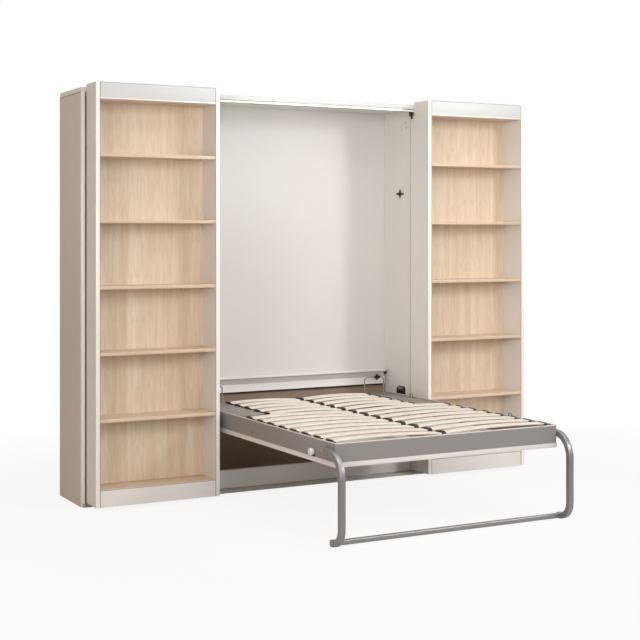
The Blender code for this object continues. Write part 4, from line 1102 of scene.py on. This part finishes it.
def end_cap(form, sign, out_x):
    """A moulded cap over a slat's end: a base, two cheeks, and a closed hood."""
    in_x = out_x - CAP_LONG
    base = SEAT + HAIR
    for y in (-CAP_HALF, CAP_HALF - CHEEK):
        high = (sign * out_x, y + CHEEK, SEAT + 8.5)
        form.block((sign * in_x, y, base), high, 1.2, 3)
    half = CAP_HALF - 0.5
    form.block((sign * in_x, -half, base), (sign * out_x, half, SEAT + 2.7), 0.9)
    form.prism(shifted(HOOD, 0, SEAT), "X", sign * (out_x - HOOD_LONG), sign * out_x, 1.2, 3)


for kind, count, skip, cap_x in (
    ("short", SHORT_ROWS, 0, SHORT_CAP),
    ("long", ROWS - SHORT_ROWS, SHORT_ROWS, LONG_CAP),
):
    far = cap_x - 4
    start = FIRST + STEP * skip
    slat_pair, cap_pair = Form(), Form()
    for sign in (-1, 1):
        arched_slat(slat_pair, sign, far)
        end_cap(cap_pair, sign, cap_x)
    replaced = ["slat_row_" + str(skip + n).zfill(2) for n in range(1, count + 1)]
    name = kind + "_arched_slats"
    slats = row(name, slat_pair, count, start, STEP, BEECH, "bed", replaced)
    # The beech's glue lines read each point's height in the slat
    layer = slats.data.attributes.new("layer", "FLOAT", "POINT")
    for vertex, value in zip(slats.data.vertices, layer.data):
        place = vertex.co / MM
        value.value = (place.z - SEAT - slat_lift(place.x, far)) * MM
    row(kind + "_slat_end_caps", cap_pair, count, start, STEP, BLACK, "bed")

# The centre holder is a moulded saddle with a pocket for each slat end
form = Form()
base = SEAT - DROP
high = (HOLDER_X, HOLDER_Y, base + HOLDER_BASE)
form.block((-HOLDER_X, -HOLDER_Y, base), high, 1.2)
form.prism(shifted(SADDLE, 0, base), "X", -HOLDER_X + 2, HOLDER_X - 2, 1.6, 3)
row("centre_holders", form, ROWS, FIRST, STEP, BLACK, "bed")


# The folding leg: two bent box-section tubes, with a rounder crossbar welded between their feet

TUBE = 29
TUBE_DEEP = 31
TUBE_CORNER = 3.6
BAR = 26
TOP_BEND, FOOT_BEND = 120, 78
TUBE_END = 12  # from the pivot to the tube's upper end
PLUG_IN = 1.2
# Weld collars: how far each reaches past the upright, and how much wider than the bar it is
WELDS = ((3.5, 2), (2, 4))
INNER_BOLT = ((0, -23), (5, -23), (5, 1), (9, 1), (9, -0.5), (0, -0.5))
OUTER_BOLT = ((0, -TUBE / 2), (7, -2), (7, 0.4), (5.4, 1.0), (0, 1.2))

leg_low, leg_high = box("leg_frame")
leg_x = leg_high.x - TUBE / 2
leg_in, leg_out = leg_x - TUBE / 2, leg_x + TUBE / 2
leg_front = leg_low.y + TUBE / 2
bar_y = leg_front + FOOT_BEND
foot_z = leg_low.z + TUBE_DEEP / 2 + 0.5
bar_z = foot_z + 1
end_y = LEG_Y + TUBE_END
side_path = [(end_y, LEG_Z)]
side_path += arc((leg_front + TOP_BEND, LEG_Z - TOP_BEND), TOP_BEND, 90, 180, 26)
side_path += arc((bar_y, foot_z + FOOT_BEND), FOOT_BEND, 180, 270, 22)
side_path += [(bar_y + TUBE / 2, foot_z)]
tube_section = box_section(TUBE, TUBE_DEEP, TUBE_CORNER, 5)
bar_section = box_section(BAR, BAR, 8, 6)
bar_end = leg_in + LET_IN
form = Form()
for sign in (-1, 1):
    form.sweep([(sign * leg_x, y, z) for y, z in side_path], tube_section, (1, 0, 0))
form.sweep([(-bar_end, bar_y, bar_z), (bar_end, bar_y, bar_z)], bar_section, (0, 1, 0))
for sign in (-1, 1):
    for reach, wider in WELDS:
        wide = BAR + wider
        weld_x = bar_end - LET_IN - reach
        path = [(sign * bar_end, bar_y, bar_z), (sign * weld_x, bar_y, bar_z)]
        form.sweep(path, box_section(wide, wide, 9, 6), (0, 1, 0))
form.piece("leg_tube", TUBE_GREY, "leg", "silver_tube", ("leg_frame",), 40)
bolts, plugs = Form(), Form()
for sign in (-1, 1):
    bolts.turned(INNER_BOLT, (sign * leg_in, LEG_Y, LEG_Z), "X", sign, 28)
    bolts.turned(OUTER_BOLT, (sign * leg_out, LEG_Y, LEG_Z), "X", sign, 28)
    half = TUBE / 2 - PLUG_IN
    low = (sign * (leg_x - half), end_y - LET_IN, LEG_Z - half)
    plugs.block(low, (sign * (leg_x + half), end_y + 2.4, LEG_Z + half), 1.4, 3)
bolts.piece("leg_pivot_bolts", STEEL, "leg", "pale_metal")
plugs.piece("leg_tube_plugs", BLACK, "leg", "black_plastic")


# The stage, in metres: floor, studio light, lamps and camera

FLOOR_HALF = 60.0


def stage_floor():
    """A pale floor that reads as white to the camera, and keeps a soft shadow near the object."""
    made, tree = started("pale_floor")
    where = add(tree, "TexCoord").outputs["Object"]
    far = add(tree, "VectorMath", {"operation": "LENGTH", 0: where}).outputs["Value"]
    run = {"From Min": 1.8, "From Max": 3.8, "To Min": 0.88, "To Max": 1.0, "Value": far}
    fade = add(tree, "MapRange", run)
    camera_ray = add(tree, "LightPath").outputs["Is Camera Ray"]
    seen = add(tree, "Math", {"operation": "MULTIPLY", 0: camera_ray, 1: fade})
    matt = add(tree, "BsdfDiffuse", {"Color": "#EFEDEB"})
    white = add(tree, "Emission", {"Color": "#FFFFFF", "Strength": 1.0})
    both = add(tree, "MixShader", {0: seen, 1: matt, 2: white})
    add(tree, "OutputMaterial", {"Surface": both})
    return made


floor_shape = bmesh.new()
bmesh.ops.create_grid(floor_shape, x_segments=1, y_segments=1, size=FLOOR_HALF)
floor_mesh = bpy.data.meshes.new("floor")
floor_shape.to_mesh(floor_mesh)
floor_shape.free()
floor_mesh.materials.append(stage_floor())
floor = linked("floor", floor_mesh)
floor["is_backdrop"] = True

# The studio: soft warm light from all round, and white where the camera and reflections look
world = bpy.data.worlds.new("studio")
bpy.context.scene.world = world
tree = emptied(world)
rays = add(tree, "LightPath").outputs
looks = {"operation": "MAXIMUM", 0: rays["Is Camera Ray"], 1: rays["Is Glossy Ray"]}
shown = add(tree, "Math", looks)
soft = add(tree, "Background", {"Color": "#F1E9E1", "Strength": 0.33})
clear = add(tree, "Background", {"Color": "#FFFFFF", "Strength": 1.0})
both = add(tree, "MixShader", {0: shown, 1: soft, 2: clear})
add(tree, "OutputWorld", {"Surface": both})


def lamp(name, place, target, size, watts, tint, spread=180):
    """A square soft box in metres and watts, aimed at a point."""
    light = bpy.data.lights.new(name, "AREA")
    light.shape = "RECTANGLE"
    light.size = light.size_y = size
    light.energy = watts
    light.color = linear(tint)[:3]
    light.spread = math.radians(spread)
    made = linked(name, light)
    made.location = place
    made.rotation_euler = (Vector(target) - Vector(place)).to_track_quat("-Z", "Y").to_euler()


lamp("key_softbox", (3.3, -4.6, 3.6), (0.3, 0.6, 1.3), 1.0, 27, "#FDFDFF", 90)
lamp("front_softbox", (-1.4, -4.2, 2.2), (0.9, 0.6, 1.5), 1.6, 22, "#FCFDFF", 90)
lamp("left_front_fill", (-4.6, -2.8, 2.0), (1.0, 0.5, 1.3), 1.6, 15.5, "#FFF8F2", 90)
lamp("compartment_lamp", (-0.7, -3.4, 1.2), (-0.2, 0.96, 2.15), 0.5, 0.6, "#FBFDFF", 20)
lamp("right_bay_lamp", (0.3, -3.4, 2.1), (1.15, 0.6, 1.95), 0.5, 0.4, "#FFFBF6", 40)
lamp("right_kick_lamp", (2.6, -3.4, 0.5), (1.1, 0.42, 0.08), 0.4, 0.3, "#FDFDFF", 19)
lamp("rear_fill", (0.0, 6.5, 2.6), (0.0, 0.97, 1.2), 3.0, 60, "#FFFDFA")
lamp("top_softbox", (0.6, -2.0, 4.8), (0.0, 0.2, 0.6), 3.0, 74, "#FFFDFA")
lamp("left_warm_fill", (-6.5, 0.5, 2.6), (-1.4, 0.6, 1.4), 3.0, 20, "#FFC192")

# The camera, solved from the cabinet's upright and level edges in the photo
camera_data = bpy.data.cameras.new("camera")
camera_data.sensor_width = 36.0
camera_data.lens = 74.85
camera_data.shift_y = -0.1326
camera_data.clip_start = 0.1
camera_data.clip_end = 200.0
camera = linked("camera", camera_data)
camera.location = (-3.7662, -6.4562, 1.4932)
camera.rotation_euler = (math.radians(90), 0, math.radians(-28.34))
bpy.context.scene.camera = camera
bpy.context.scene.view_settings.view_transform = "Standard"

low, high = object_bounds()
